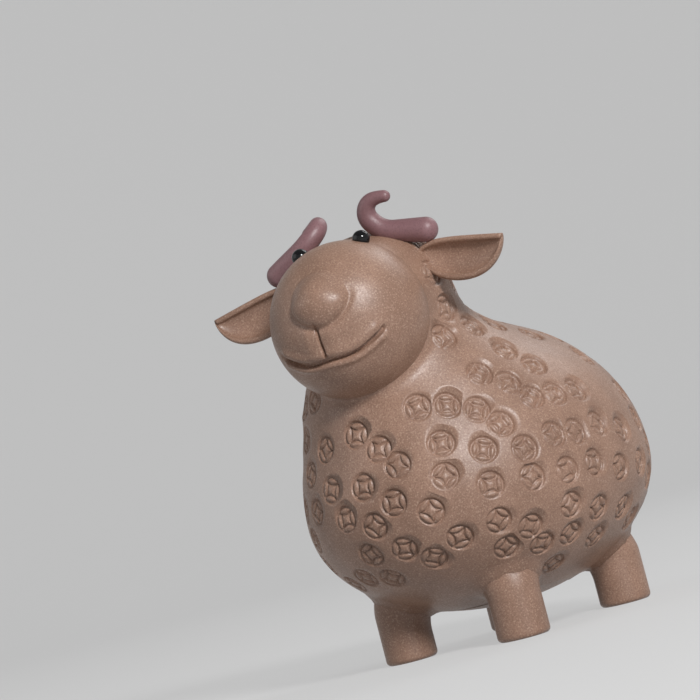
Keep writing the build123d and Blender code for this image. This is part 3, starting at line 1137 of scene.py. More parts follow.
class Bench:
    """Adds nodes to one tree."""

    def __init__(self, tree):
        self.tree = tree

    def node(self, kind, settings=None, inputs=None, output=0):
        """A node with its settings made first, then its inputs set or linked."""
        new = self.tree.nodes.new(kind)
        for name, value in (settings or {}).items():
            setattr(new, name, value)
        for name, value in (inputs or {}).items():
            socket = new.inputs[name]
            if isinstance(value, Wire):
                self.tree.links.new(value.socket, socket)
            else:
                socket.default_value = value
        return Wire(self, new.outputs[output]) if len(new.outputs) else None

    def mix(self, share, first, second):
        """Mixes two colours."""
        return self.node(
            "ShaderNodeMix",
            {"data_type": "RGBA"},
            {"Factor": share, 6: self.rgb(first), 7: self.rgb(second)},
            output=2,
        )

    def rgb(self, value):
        """A colour with its alpha, or a wire as it is."""
        return value if isinstance(value, Wire) else (*value, 1.0)


def shader_bench(name):
    """A new material with no nodes yet, and the bench of its tree."""
    material = bpy.data.materials.new(name)
    material.use_nodes = True
    material.node_tree.nodes.clear()
    return material, Bench(material.node_tree)


def close_shader(bench, surface):
    """Sends a shader to the material's output."""
    bench.node("ShaderNodeOutputMaterial", {}, {"Surface": surface})


def object_place(bench):
    """Places on the piece, in metres."""
    return bench.node("ShaderNodeTexCoord", output=3)


def noise(bench, where, size, detail=2.0, roughness=0.5, output=0):
    """Noise whose blobs are about a given size."""
    near = bench.node("ShaderNodeVectorMath", {"operation": "SCALE"}, {0: where, "Scale": 1 / size})
    inputs = {"Vector": near, "Scale": 1.0, "Detail": detail, "Roughness": roughness}
    return bench.node("ShaderNodeTexNoise", {}, inputs, output=output)


def clay_material(name, colours, grain, speck_share, roughness):
    """Unglazed fired clay: cloudy colour, sand grains that catch the light, and a fine tooth."""
    material, bench = shader_bench(name)
    where = object_place(bench)
    main, dark, speck = colours
    clouds = noise(bench, where, *CLOUDS).soft(*CLOUD_LEVELS)
    blush = bench.mix(clouds * CLOUD_SHARE, main, dark)
    fine = noise(bench, where, grain, *GRAIN_NOISE)
    darker = fine.soft(*DARK_LEVELS, 1.0, 0.0)
    lighter = fine.soft(*SPECK_LEVELS)
    toned = bench.mix(darker * DARK_GRAINS, blush, dark)
    sandy = bench.mix(lighter * speck_share, toned, speck)
    grit = noise(bench, where, grain * GRIT_SIZE, *GRIT_NOISE)
    height = fine * TOOTH_SHARES[0] + grit * TOOTH_SHARES[1]
    tooth = {"Strength": TOOTH_STRENGTH, "Distance": TOOTH_DEPTH, "Height": height}
    normal = bench.node("ShaderNodeBump", {}, tooth)
    shine = (noise(bench, where, SHINE_SPOT) - 0.5) * SHINE_CHANGE
    rough = roughness + shine + darker * DARK_DULLER
    surface = bench.node(
        "ShaderNodeBsdfPrincipled",
        {},
        {
            "Base Color": sandy,
            "Roughness": rough,
            "Normal": normal,
            "Specular IOR Level": CLAY_SPECULAR,
        },
    )
    close_shader(bench, surface)
    return material


def glaze_material(finishes):
    """Glossy black glaze with faint pooling."""
    material, bench = shader_bench("black_glaze")
    where = object_place(bench)
    pool = noise(bench, where, *POOLS)
    surface = bench.node(
        "ShaderNodeBsdfPrincipled",
        {},
        {
            "Base Color": (*finishes.glaze, 1.0),
            "Roughness": pool * POOL_ROUGHER + GLAZE_ROUGHNESS,
            "Specular IOR Level": GLAZE_SPECULAR,
        },
    )
    close_shader(bench, surface)
    return material


def floor_material(finishes):
    """Plain pale floor and backdrop, evened out for the camera and for reflections."""
    material, bench = shader_bench("studio_floor")
    paint = {"Base Color": (*finishes.floor, 1.0), "Roughness": FLOOR_ROUGHNESS}
    matte = bench.node("ShaderNodeBsdfPrincipled", {}, paint)
    glow = {"Color": (*finishes.backdrop, 1.0), "Strength": 1.0}
    plain = bench.node("ShaderNodeEmission", {}, glow)
    camera = bench.node("ShaderNodeLightPath", output=0)
    glossy = bench.node("ShaderNodeLightPath", output=3)
    through = bench.node("ShaderNodeLightPath", output=6)
    seen = camera.math("MAXIMUM", glossy).math("MAXIMUM", through) * BACKDROP_SHARE
    surface = bench.node("ShaderNodeMixShader", {}, {0: seen, 1: matte, 2: plain})
    close_shader(bench, surface)
    return material


def finished(name):
    """A material by name, made once."""
    found = bpy.data.materials.get(name)
    if found is not None:
        return found
    finishes = bpy.context.scene.sheep_finishes
    if name == "sandy_brown_clay":
        colours = (finishes.clay, finishes.clay_dark, finishes.clay_speck)
        return clay_material(name, colours, finishes.grain, BROWN_SPECKS, finishes.roughness)
    if name == "sandy_purple_clay":
        colours = (finishes.horn, finishes.horn_dark, finishes.horn)
        return clay_material(name, colours, finishes.grain, PURPLE_SPECKS, PURPLE_ROUGHNESS)
    if name == "black_glaze":
        return glaze_material(finishes)
    return floor_material(finishes)


# Geometry Nodes


class GeometryTree:
    """A geometry tree with named inputs, ending in Realize Instances and Set Material."""

    def __init__(self, name):
        self.tree = bpy.data.node_groups.new(name, "GeometryNodeTree")
        self.tree.is_modifier = True
        self.bench = Bench(self.tree)
        self.socket("Geometry", "Geometry", "INPUT")
        self.socket("Geometry", "Geometry", "OUTPUT")

    def socket(self, name, kind, way):
        """A named socket of the tree."""
        kind = "NodeSocket" + kind
        return self.tree.interface.new_socket(name, in_out=way, socket_type=kind)

    def sizes(self, **sizes):
        """Named number inputs, and then the node that brings them in."""
        for name, default in sizes.items():
            name = name.replace("_", " ").title()
            self.socket(name, "Float", "INPUT").default_value = default
        self.source = self.tree.nodes.new("NodeGroupInput")

    def get(self, name):
        """The wire of a named input."""
        return Wire(self.bench, self.source.outputs[name])

    def read(self, name, kind="FLOAT"):
        """The wire of a stored attribute."""
        settings = {"data_type": kind}
        return self.bench.node("GeometryNodeInputNamedAttribute", settings, {"Name": name})

    def finish(self, shape, material):
        """Shades smooth, realizes, gives the material and goes to the output."""
        smooth = self.bench.node("GeometryNodeSetShadeSmooth", {}, {"Geometry": shape})
        real = self.bench.node("GeometryNodeRealizeInstances", {}, {"Geometry": smooth})
        paint = {"Geometry": real, "Material": material}
        painted = self.bench.node("GeometryNodeSetMaterial", {}, paint)
        self.bench.node("NodeGroupOutput", {}, {"Geometry": painted})

    def run(self, name, source):
        """Puts the tree on an object and returns the plain mesh that it makes as a new object."""
        modifier = source.modifiers.new(self.tree.name, "NODES")
        modifier.node_group = self.tree
        bpy.context.view_layer.update()
        graph = bpy.context.evaluated_depsgraph_get()
        mesh = bpy.data.meshes.new_from_object(source.evaluated_get(graph))
        mesh.name = name
        source.modifiers.remove(modifier)
        bpy.data.objects.remove(source)
        return new_object(name, mesh)


def component(bench, vector, axis):
    """One component of a vector."""
    return bench.node("ShaderNodeSeparateXYZ", {}, {"Vector": vector}, output=axis)


def stamp_tree(coins, material):
    """Presses the coin tool into the skin: a tilted face with four petals, and its shoulder."""
    tree = GeometryTree("press_coins")
    tree.sizes(
        coin_radius=coins.radius,
        edge_wall=coins.edge_wall,
        ring_radius=coins.radius * coins.line_radius_share,
        line_width=coins.line_width,
        line_depth=coins.line_depth,
        pillow_width=coins.pillow_width,
        pillow_rise=coins.pillow_rise,
        shoulder_step=coins.step,
        skin_curve=coins.skin_curve,
    )
    bench = tree.bench
    spot = tree.read("tool_spot", "FLOAT_VECTOR")
    tilt = tree.read("tool_tilt", "FLOAT_VECTOR")
    x = component(bench, spot, 0).math("ABSOLUTE")
    y = component(bench, spot, 1).math("ABSOLUTE")
    out = (x * x + y * y).math("SQRT")
    ring = tree.get("Ring Radius")
    beside = x.math("MAXIMUM", y) - ring * math.sqrt(2)
    minor = x.math("MINIMUM", y)
    from_petal = ((beside * beside + minor * minor).math("SQRT") - ring).math("ABSOLUTE")
    inside = ring.math("GREATER_THAN", out)
    from_ring = (out - ring).math("ABSOLUTE")
    from_line = from_ring.math("MINIMUM", from_petal + (1 - inside))
    groove = tree.get("Line Depth") * from_line.soft(0.0, tree.get("Line Width"), 1.0, 0.0)
    pillow = tree.get("Pillow Rise") * from_line.soft(0.0, tree.get("Pillow Width")) * inside
    product = {"operation": "DOT_PRODUCT"}
    lean = bench.node("ShaderNodeVectorMath", product, {0: spot, 1: tilt}, output=1)
    falling_skin = out * out / (tree.get("Skin Curve") * 2)
    edge = tree.get("Coin Radius")
    step = tree.get("Shoulder Step") * out.soft(edge, edge + tree.get("Edge Wall"))
    face = lean + falling_skin - tree.read("tool_press") + step
    height = (face - groove + pillow).math("MINIMUM", 0.0) * tree.read("tool_reach")
    offset = bench.node(
        "ShaderNodeVectorMath",
        {"operation": "SCALE"},
        {0: tree.read("outward", "FLOAT_VECTOR"), "Scale": height},
    )
    moved = bench.node(
        "GeometryNodeSetPosition", {}, {"Geometry": tree.get("Geometry"), "Offset": offset}
    )
    tree.finish(moved, material)
    return tree


def horn_tree(horns, material):
    """A round roll along a curve that swells, thins to its tip and ends in domes."""
    tree = GeometryTree("roll_horn")
    tree.sizes(
        root_radius=horns.root_radius,
        neck_radius=horns.neck_radius,
        tip_radius=horns.tip_radius,
        neck_share=horns.neck_share,
        steps=float(horns.steps),
        sides=float(horns.sides),
    )
    bench = tree.bench
    root, neck, tip = (tree.get(name) for name in ("Root Radius", "Neck Radius", "Tip Radius"))
    course = {"Curve": tree.get("Geometry"), "Count": tree.get("Steps")}
    line = bench.node("GeometryNodeResampleCurve", {}, course)
    share = bench.node("GeometryNodeSplineParameter")
    walked = bench.node("GeometryNodeSplineParameter", output=1)
    whole = bench.node("GeometryNodeSplineLength")
    thick = share.soft(0.0, tree.get("Neck Share"), root, neck)
    thin = share.soft(tree.get("Neck Share"), 1.0, 0.0, 1.0)
    radius = thick + (tip - thick) * thin
    from_root = (1.0 - walked / root).math("MAXIMUM", 0.0)
    from_tip = (1.0 - (whole - walked) / tip).math("MAXIMUM", 0.0)
    dome = (1.0 - from_root * from_root).math("MAXIMUM", 0.0).math("SQRT")
    dome = dome * (1.0 - from_tip * from_tip).math("MAXIMUM", 0.0).math("SQRT")
    circle = {"Resolution": tree.get("Sides"), "Radius": 1.0}
    ring = bench.node("GeometryNodeCurvePrimitiveCircle", {}, circle)
    roll = bench.node(
        "GeometryNodeCurveToMesh",
        {},
        {
            "Curve": line,
            "Profile Curve": ring,
            "Scale": (radius * dome).math("MAXIMUM", LEAST_SCALE),
            "Fill Caps": True,
        },
    )
    welded = bench.node("GeometryNodeMergeByDistance", {}, {"Geometry": roll, "Distance": WELD})
    tree.finish(welded, material)
    return tree


# Meshes


def new_object(name, mesh):
    """A new object in the scene."""
    piece = bpy.data.objects.new(name, mesh)
    bpy.context.scene.collection.objects.link(piece)
    return piece


def mesh_of(name, points, faces):
    """A smooth mesh from rows of points and faces."""
    mesh = bpy.data.meshes.new(name)
    mesh.from_pydata([tuple(row) for row in points], [], [tuple(face) for face in faces])
    mesh.shade_smooth()
    return mesh


def store(mesh, name, values):
    """Keeps a number or a vector on every point of a mesh."""
    kind, field = ("FLOAT", "value") if values.ndim == 1 else ("FLOAT_VECTOR", "vector")
    attribute = mesh.attributes.new(name, kind, "POINT")
    attribute.data.foreach_set(field, np.ascontiguousarray(values, dtype=np.float32).ravel())


def grid_faces(rows, columns):
    """Quads of a grid whose columns close into a ring."""
    faces = []
    for start in range(0, (rows - 1) * columns, columns):
        for column in range(columns):
            here, ahead = start + column, start + (column + 1) % columns
            faces.append((here, ahead, ahead + columns, here + columns))
    return faces


def closed_tube(name, rings):
    """A closed mesh from rings of points, with a point at each end."""
    rings = np.asarray(rings)
    rows, columns = rings.shape[:2]
    points = list(rings.reshape(-1, 3))
    faces = grid_faces(rows, columns)
    first, last = len(points), len(points) + 1
    points += [rings[0].mean(axis=0), rings[-1].mean(axis=0)]
    for column in range(columns):
        ahead = (column + 1) % columns
        faces.append((first, ahead, column))
        faces.append((last, (rows - 1) * columns + column, (rows - 1) * columns + ahead))
    mesh = mesh_of(name, points, faces)
    point_outwards(mesh)
    return mesh


def turned_rings(profile, sides):
    """Level rings from their radii and heights."""
    swing = round_steps(sides)
    rings = []
    for radius, height in profile:
        x, y = radius * np.cos(swing), radius * np.sin(swing)
        rings.append(np.column_stack([x, y, np.full(sides, height)]))
    return np.array(rings)


def point_outwards(mesh):
    """Turns all faces outwards if the mesh is inside out."""
    mesh.calc_loop_triangles()
    points = np.array([vertex.co for vertex in mesh.vertices])
    corners = np.array([triangle.vertices for triangle in mesh.loop_triangles])
    a, b, c = (points[corners[:, i]] for i in range(3))
    if np.einsum("ij,ij->i", a, np.cross(b, c)).sum() < 0:
        mesh.flip_normals()


def dress(piece, finish, *nodes):
    """Gives a piece its material and body, and hides the nodes that it stands for."""
    material, slot = finish
    if not piece.data.materials:
        piece.data.materials.append(finished(material))
    piece.data.shade_smooth()
    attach(piece, "root")
    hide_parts(*nodes)


def dress_rings(name, rings, finish, *nodes):
    """A closed piece made from rings of points, and dressed."""
    dress(new_object(name, closed_tube(name, rings)), finish, *nodes)


def current_form():
    """The sheep's form from the sizes in the scene."""
    scene = bpy.context.scene
    return SheepForm(scene.sheep_body, scene.sheep_legs)


def horn_points(form, horns, side, steps):
    """Middle line of a horn: straight over the crown's edge, round the curl and out to the tip."""
    sizes = form.sizes
    middle = np.array([sizes.neck_radius - sizes.crown_edge, sizes.crown_rise - sizes.crown_edge])
    heading = math.pi - horns.droop
    ahead = np.array([math.cos(heading), math.sin(heading)])
    clearance = sizes.crown_edge + horns.root_radius - horns.press
    overhang = horns.overhang if side > 0 else horns.right_overhang
    root = middle + clearance * np.array([ahead[1], -ahead[0]]) - overhang * ahead
    flat = [root + ahead * horns.lay * step / steps for step in range(steps)]
    here = root + ahead * horns.lay
    arcs = (
        (horns.bend_radius, horns.bend_angle),
        (horns.curl_radius, horns.curl_angle),
        (horns.tip_bend_radius, horns.tip_bend_angle),
    )
    for radius, swing in arcs:
        for step in range(steps):
            part = swing * step / steps
            flat.append(here + arc_way(heading, radius, part))
        here = here + arc_way(heading, radius, swing)
        heading -= swing
    flat = np.array([*flat, here])
    local = np.column_stack([side * flat[:, 0], np.zeros(len(flat)), flat[:, 1]])
    if side < 0:
        laid = Vector(local[2 * steps] - local[0])
        twisted = Matrix.Rotation(-horns.right_twist, 3, laid)
        lifted = Matrix.Rotation(-horns.right_lift, 3, "Y") @ twisted
        swung = np.array(Matrix.Rotation(horns.right_swing, 3, "Z") @ lifted)
        local = local[0] + (local - local[0]) @ swung.T
    return form.neck_middle + local @ form.neck_axes.T


def arc_way(heading, radius, swing):
    """The way walked along an arc that bends to the right of a heading."""
    after = heading - swing
    return radius * np.array(
        [math.sin(heading) - math.sin(after), math.cos(after) - math.cos(heading)]
    )


class SHEEP_OT_fleece(bpy.types.Operator):
    """Body, neck and crown in one skin, stamped all over with coin marks"""

    bl_idname = "sheep.fleece"
    bl_label = "Stamped skin"

    def execute(self, context):
        scene = context.scene
        coins = scene.sheep_coins
        form = current_form()
        view = PhotoView(scene.sheep_stage, form.middle)
        horns = scene.sheep_horns
        lines = [horn_points(form, horns, side, ROUGH_HORN_STEPS) for side in (1, -1)]
        marks = CoinMarks(form, view, coins, np.concatenate(lines))
        skin = FleeceMesh(form, marks).build()
        mesh = mesh_of("fleece_source", skin.points, skin.faces)
        kept = {
            "tool_spot": skin.spot,
            "tool_tilt": skin.tilt,
            "tool_press": skin.press,
            "tool_reach": skin.stamped,
            "outward": skin.outward,
        }
        for name, values in kept.items():
            store(mesh, name, values)
        source = new_object("fleece_source", mesh)
        tree = stamp_tree(coins, finished(BROWN[0]))
        piece = tree.run("stamped_fleece", source)
        for name in kept:
            piece.data.attributes.remove(piece.data.attributes[name])
        dress(piece, BROWN, "body_shell", "neck_hood")
        return {"FINISHED"}


def spaced(stops):
    """Steps whose spacing changes from stretch to stretch."""
    values = []
    for (start, stop), step in stops:
        many = max(1, round((stop - start) / step))
        values.extend(np.linspace(start, stop, many, endpoint=False))
    values.append(stops[-1][0][1])
    return np.array(values)


def muzzle_rise(form, face, outward, latitude, swing):
    """How far each point of the muzzle stands out of its ball."""
    radius = form.ball_radius
    local = outward @ form.head_axes
    turned = np.arctan2(local[:, 0], -local[:, 1])
    tilted = np.arcsin(np.clip(local[:, 2], -1, 1))
    smile_latitude = math.asin(face.smile_rise / radius)
    along = swing / face.smile_half
    sag = SAG_DROP * bump(np.abs(swing) - SAG_AT, SAG_WIDTH)
    above = (latitude - smile_latitude + sag) * radius
    inside = smooth_step(*SMILE_END, np.abs(along))
    width = face.smile_width * (1 + LEFT_WIDER * smooth_step(*LEFT_SIDE, along))
    rise = -face.smile_depth * np.exp(-np.abs(above / width) ** WALL_POWER) * inside
    for fullness, way, half in LIPS:
        rise = rise + face.lip_rise * fullness * bump(above - way, half) * inside
    corner = np.hypot(above, (np.abs(along) - 1) * face.smile_half * radius)
    dimple = -DIMPLE_DEPTH * bump(corner, DIMPLE_WIDTH)
    level = np.degrees(tilted)
    beside = (turned + CLEFT_TURN) * np.cos(tilted) * radius
    upright = smooth_step(*CLEFT_FOOT, level) * smooth_step(*CLEFT_TOP, level)
    cleft = -face.cleft_depth * bump(beside, face.cleft_width) * upright
    cheeks = CHEEK_RISE * bump(np.abs(beside) - CHEEK_WAY, CHEEK_WIDTH)
    cheeks = cheeks * smooth_step(*CHEEK_FOOT, level) * smooth_step(*CHEEK_TOP, level)
    right = (turned - face.nose_turn) * np.cos(tilted) * radius
    high = (tilted - face.nose_tilt) * radius
    taper = NOSE_TAPER * high / face.nose_half_height * np.where(high < 0, -1.0, NOSE_TOP_TAPER)
    narrow = np.clip(1 - taper, *NOSE_WIDTHS)
    low_side = smooth_step(*NOSE_SIDES, high)
    tall = face.nose_half_height * (1 + NOSE_TALLER - NOSE_TALLER * low_side)
    reach = np.hypot(right / (face.nose_half_width * narrow), high / tall)
    edge = NOSE_SOFT - NOSE_SHARP * low_side
    nose = face.nose_rise * np.clip(1 - reach**2, 0, 1) ** edge
    crease = -CREASE_DEPTH * bump(reach - CREASE_AT, CREASE_WIDTH) * low_side
    return rise + dimple + cleft + cheeks + nose + crease


class SHEEP_OT_muzzle(bpy.types.Operator):
    """Ball muzzle with its nose, smile and lip cleft"""

    bl_idname = "sheep.muzzle"
    bl_label = "Muzzle"

    def execute(self, context):
        scene = context.scene
        face = scene.sheep_face
        form = current_form()
        axes = form.head_axes @ turn_about("X", face.smile_tilt)
        columns = spaced(MUZZLE_COLUMNS)[:-1]
        rows = spaced(MUZZLE_ROWS)
        swing, latitude = np.meshgrid(np.radians(columns), np.radians(rows))
        flat_swing, flat_latitude = swing.ravel(), latitude.ravel()
        local = np.column_stack(
            [
                np.cos(flat_latitude) * np.sin(flat_swing),
                -np.cos(flat_latitude) * np.cos(flat_swing),
                np.sin(flat_latitude),
            ]
        )
        outward = local @ axes.T
        rise = muzzle_rise(form, face, outward, flat_latitude, flat_swing)
        points = form.ball_middle + (form.ball_radius + rise)[:, None] * outward
        rings = points.reshape(len(rows), len(columns), 3)
        dress_rings("smiling_muzzle", rings, BROWN, "muzzle", "nose")
        return {"FINISHED"}


class SHEEP_OT_eyes(bpy.types.Operator):
    """Glazed bead eyes pressed into the top of the muzzle"""

    bl_idname = "sheep.eyes"
    bl_label = "Eyes"

    def execute(self, context):
        form = current_form()
        ahead = context.scene.sheep_face.eye_forward * -form.head_axes[:, 1]
        swing = round_steps(EYE_SIDES)
        for side in ("left", "right"):
            low, high = box_corners("eye_" + side)
            middle, radius = (low + high) / 2, (high[0] - low[0]) / 2
            stand = np.linalg.norm(middle - form.ball_middle)
            up = unit(middle + ahead - form.ball_middle)
            middle = form.ball_middle + stand * up
            across = unit(np.cross(up, (0.0, 1.0, 0.0)))
            along = np.cross(up, across)
            ways = np.cos(swing)[:, None] * across + np.sin(swing)[:, None] * along
            rings = []
            for latitude in np.linspace(-EYE_POLE, EYE_POLE, EYE_ROWS):
                flat = EYE_FLAT if latitude > 0 else 1.0
                level = middle + radius * flat * math.sin(latitude) * up
                rings.append(level + radius * math.cos(latitude) * ways)
            dress_rings("bead_eye_" + side, rings, BLACK, "eye_" + side)
        return {"FINISHED"}


class SHEEP_OT_horns(bpy.types.Operator):
    """Tapered rolls of purple clay, laid on the crown with their thin ends curled up"""

    bl_idname = "sheep.horns"
    bl_label = "Horns"

    def execute(self, context):
        horns = context.scene.sheep_horns
        form = current_form()
        for side, sign in (("left", 1), ("right", -1)):
            points = horn_points(form, horns, sign, HORN_STEPS)
            first = unit(points[0] - points[1]) * horns.root_radius * DOME_SHARE
            last = unit(points[-1] - points[-2]) * horns.tip_radius * DOME_SHARE
            points = np.concatenate([[points[0] + first], points, [points[-1] + last]])
            line = bpy.data.curves.new("horn_line", "CURVE")
            line.dimensions = "3D"
            spline = line.splines.new("POLY")
            spline.points.add(len(points) - 1)
            for point, row in zip(spline.points, points):
                point.co = (*row, 1.0)
            source = new_object("horn_line", line)
            tree = horn_tree(horns, finished(PURPLE[0]))
            piece = tree.run("curled_horn_" + side, source)
            point_outwards(piece.data)
            dress(piece, PURPLE, "horn_" + side)
        return {"FINISHED"}


def ear_section(high, low, depth, rim):
    """One ring of an ear, across and deep: its back, the rolled rim, the hollow, the rim again."""
    middle, half = (high + low) / 2, (high - low) / 2
    lip = rim / 2
    hollow = max(depth - rim, EAR_LEAST_HOLLOW * depth)
    back = np.linspace(0, math.pi, EAR_BACK_STEPS, endpoint=False)
    turn = np.linspace(0, math.pi, EAR_RIM_STEPS, endpoint=False)
    ring = [(middle + half * math.cos(t), depth * math.sin(t)) for t in back]
    ring += [(middle - half + lip - lip * math.cos(t), -lip * math.sin(t)) for t in turn]
    ring += [(middle - (half - rim) * math.cos(t), hollow * math.sin(t)) for t in back]
    ring += [(middle + half - lip - lip * math.cos(t), -lip * math.sin(t)) for t in turn]
    return ring


def powered(value, powers):
    """1 at 0 and 0 at 1, with its fall set by two powers."""
    inner, outer = powers
    return (1 - value**inner) ** outer


def ear_rings(ears):
    """Rings along an ear with a straight top edge, a full lower edge and a blunt tip."""
    rings = []
    whole = ears.up + ears.down
    for step in range(EAR_RINGS):
        walked = (step + EAR_START) / (EAR_RINGS - EAR_END)
        share = 0.5 - 0.5 * math.cos(math.pi * walked)
        opened = powered(1 - share, EAR_OPENING)
        width = opened * powered(share, EAR_CLOSING)
        high = ears.up - EAR_ROOT_DROP * whole * (1 - opened) - ears.fall * share
        low = high - whole * width
        rim = min(ears.rim, EAR_RIM_SHARE * (high - low))
        section = ear_section(high, low, ears.depth * width**EAR_DEPTH_POWER, rim)
        rings.append([(ears.reach * share, deep, across) for across, deep in section])
    return np.array(rings)


class SHEEP_OT_ears(bpy.types.Operator):
    """Cupped leaf ears that open forwards"""

    bl_idname = "sheep.ears"
    bl_label = "Ears"

    def execute(self, context):
        ears = context.scene.sheep_ears
        form = current_form()
        rings = ear_rings(ears)
        turned = turn_about("Z", -ears.sweep) @ turn_about("X", -ears.pitch)
        for side, sign in (("left", 1), ("right", -1)):
            local = rings @ turned.T + (ears.root_out, -ears.forward, ears.level)
            local = local * (sign, 1, 1)
            points = form.neck_middle + local @ form.neck_axes.T
            dress_rings("leaf_ear_" + side, points, BROWN, "ear_" + side)
        return {"FINISHED"}


class SHEEP_OT_legs(bpy.types.Operator):
    """Stub legs with rounded soles that run softly into the belly"""

    bl_idname = "sheep.legs"
    bl_label = "Legs"

    def execute(self, context):
        legs = context.scene.sheep_legs
        form = current_form()
        names = ("front_left", "front_right", "rear_left", "rear_right")
        for name, middle in zip(names, form.leg_middles):
            rings = self.leg_rings(form, legs, middle)
            dress_rings("stub_leg_" + name, rings, BROWN, "leg_" + name)
        return {"FINISHED"}

    def leg_rings(self, form, legs, middle):
        """Rings of a leg from its sole to its dome, drawn out to the soft join."""
        radius, edge = legs.radius, legs.edge
        profile = [(radius * share, 0.0) for share in SOLE_SHARES]
        for step in range(EDGE_STEPS + 1):
            turned = math.pi / 2 * step / EDGE_STEPS
            out = radius - edge + edge * math.sin(turned)
            profile.append((out, edge * (1 - math.cos(turned))))
        dome = legs.height - radius
        profile += [(radius, height) for height in np.linspace(edge, dome, SIDE_ROWS)[1:]]
        for step in range(1, DOME_STEPS):
            turned = math.pi / 2 * step / DOME_STEPS
            profile.append((radius * math.cos(turned), dome + radius * math.sin(turned)))
        rings = turned_rings(profile, LEG_SIDES) + (*middle, 0.0)
        points = rings.reshape(-1, 3)
        free = points[:, 2] > edge * EDGE_FREE
        joined = smooth_union(form.leg(points), form.trunk(points), legs.blend)
        outward = form.slope(points, form.leg)
        push = np.where(free, np.clip(-joined, 0, legs.blend / 4), 0)
        push = push * smooth_step(*JOIN_FADE, form.trunk(points))
        return (points + push[:, None] * outward).reshape(rings.shape)


class SHEEP_OT_tail(bpy.types.Operator):
    """Flattened drop on the rump"""

    bl_idname = "sheep.tail"
    bl_label = "Tail"

    def execute(self, context):
        legs = context.scene.sheep_legs
        low, high = box_corners("tail")
        half = np.array([legs.tail_width, legs.tail_depth, legs.tail_length]) / 2
        droop = turn_about("X", legs.tail_droop)
        spread = np.sqrt((half * half) @ (droop.T**2))
        middle = np.array([(low[0] + high[0]) / 2, high[1] - spread[1], low[2] + spread[2]])
        swing = round_steps(TAIL_SIDES)
        rings = []
        for latitude in np.linspace(-TAIL_POLE, TAIL_POLE, TAIL_ROWS):
            out, rise = math.cos(latitude), math.sin(latitude)
            across = half[0] * (1 - TAIL_NARROW * rise) * out * np.cos(swing)
            deep = half[1] * out * np.sin(swing)
            local = np.column_stack([across, deep, np.full(TAIL_SIDES, half[2] * rise)])
            rings.append(middle + local @ droop.T)
        dress_rings("drop_tail", rings, BROWN, "tail")
        return {"FINISHED"}


class SHEEP_OT_base(bpy.types.Operator):
    """Base disc under the belly, in the same clay"""

    bl_idname = "sheep.base"
    bl_label = "Base disc"

    def execute(self, context):
        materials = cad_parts["base_disc"].data.materials
        materials.clear()
        materials.append(finished(BROWN[0]))
        return {"FINISHED"}


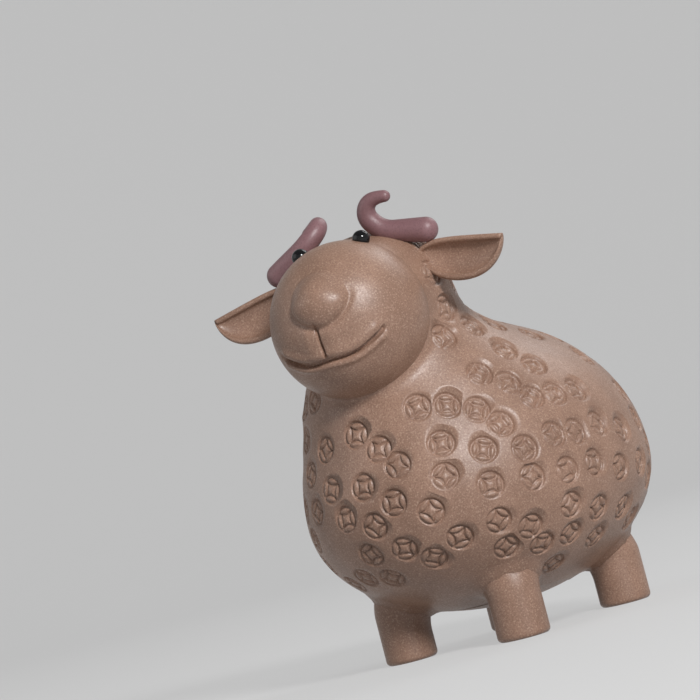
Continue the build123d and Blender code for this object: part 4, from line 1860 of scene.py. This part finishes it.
class SHEEP_OT_stage(bpy.types.Operator):
    """Pale round studio floor, soft lights and the photograph's camera"""

    bl_idname = "sheep.stage"
    bl_label = "Studio"

    def execute(self, context):
        scene = context.scene
        stage = scene.sheep_stage
        form = current_form()
        scene.view_settings.view_transform = "Standard"
        self.add_floor(stage)
        self.add_camera(scene, stage, form)
        self.add_lights(form)
        self.add_world(scene)
        return {"FINISHED"}

    def add_floor(self, stage):
        """A flat round floor that curves up into a backdrop all round."""
        profile = [(stage.floor_radius * share, 0.0) for share in FLOOR_SHARES]
        for step in range(1, CURVE_STEPS + 1):
            turned = math.pi / 2 * step / CURVE_STEPS
            out = stage.floor_radius + FLOOR_CURVE * math.sin(turned)
            profile.append((out, FLOOR_CURVE * (1 - math.cos(turned))))
        profile.append((profile[-1][0], stage.wall_height))
        rings = turned_rings(profile, FLOOR_SIDES)
        points = np.concatenate([*rings, [(0.0, 0.0, 0.0)]])
        faces = grid_faces(len(rings), FLOOR_SIDES)
        faces += [(len(points) - 1, (i + 1) % FLOOR_SIDES, i) for i in range(FLOOR_SIDES)]
        mesh = mesh_of("studio_floor", points, [face[::-1] for face in faces])
        mesh.materials.append(finished("studio_floor"))
        new_object("studio_floor", mesh)

    def add_camera(self, scene, stage, form):
        """The photograph's viewing angle, roll and lens."""
        view = PhotoView(stage, form.middle)
        data = bpy.data.cameras.new("photo_camera")
        data.sensor_width = SENSOR
        data.lens = stage.lens
        data.clip_start, data.clip_end = CLIP_START, CLIP_END
        camera = new_object("photo_camera", data)
        axes = np.eye(4)
        axes[:3] = np.column_stack([view.right, view.up, view.back, view.eye])
        camera.matrix_world = Matrix(axes.tolist())
        scene.camera = camera

    def add_lights(self, form):
        """A soft key from the upper right, a wide fill, and a light from behind."""
        aim = form.middle + (0, 0, AIM_LEVEL)
        for name, away, size, power in LAMPS:
            data = bpy.data.lights.new(name, "AREA")
            data.size = size
            data.energy = power
            light = new_object(name, data)
            spot = Vector(aim) + Vector(away)
            facing = (Vector(aim) - spot).to_track_quat("-Z", "Y")
            light.matrix_world = Matrix.LocRotScale(spot, facing, None)

    def add_world(self, scene):
        """Even pale surroundings."""
        world = bpy.data.worlds.new("studio")
        world.use_nodes = True
        background = world.node_tree.nodes["Background"]
        background.inputs["Color"].default_value = (1.0, 1.0, 1.0, 1.0)
        background.inputs["Strength"].default_value = WORLD_LIGHT
        scene.world = world


class SHEEP_PT_panel(bpy.types.Panel):
    """Sizes, finishes and steps of the sheep"""

    bl_idname = "SHEEP_PT_panel"
    bl_label = "Clay Sheep"
    bl_space_type = "VIEW_3D"
    bl_region_type = "UI"
    bl_category = "Sheep"

    def draw(self, context):
        for name, group in GROUPS.items():
            box = self.layout.box()
            box.label(text=name.replace("_", " "))
            for key in group.__annotations__:
                box.prop(getattr(context.scene, name), key)
        for step in STEPS:
            self.layout.operator(step.bl_idname)


STEPS = (
    SHEEP_OT_stage,
    SHEEP_OT_fleece,
    SHEEP_OT_muzzle,
    SHEEP_OT_eyes,
    SHEEP_OT_horns,
    SHEEP_OT_ears,
    SHEEP_OT_legs,
    SHEEP_OT_tail,
    SHEEP_OT_base,
)


def register():
    """Registers the groups, the steps and the panel."""
    for group in GROUPS.values():
        bpy.utils.register_class(group)
    for name, group in GROUPS.items():
        setattr(bpy.types.Scene, name, bpy.props.PointerProperty(type=group))
    for step in (*STEPS, SHEEP_PT_panel):
        bpy.utils.register_class(step)


def unregister():
    """Takes everything back out."""
    for step in reversed((*STEPS, SHEEP_PT_panel)):
        bpy.utils.unregister_class(step)
    for name in GROUPS:
        delattr(bpy.types.Scene, name)
    for group in reversed(GROUPS.values()):
        bpy.utils.unregister_class(group)


def main():
    """Builds the whole sheep."""
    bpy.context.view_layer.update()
    register()
    for step in STEPS:
        group, name = step.bl_idname.split(".")
        getattr(getattr(bpy.ops, group), name)()
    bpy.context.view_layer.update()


if __name__ == "__main__":
    main()
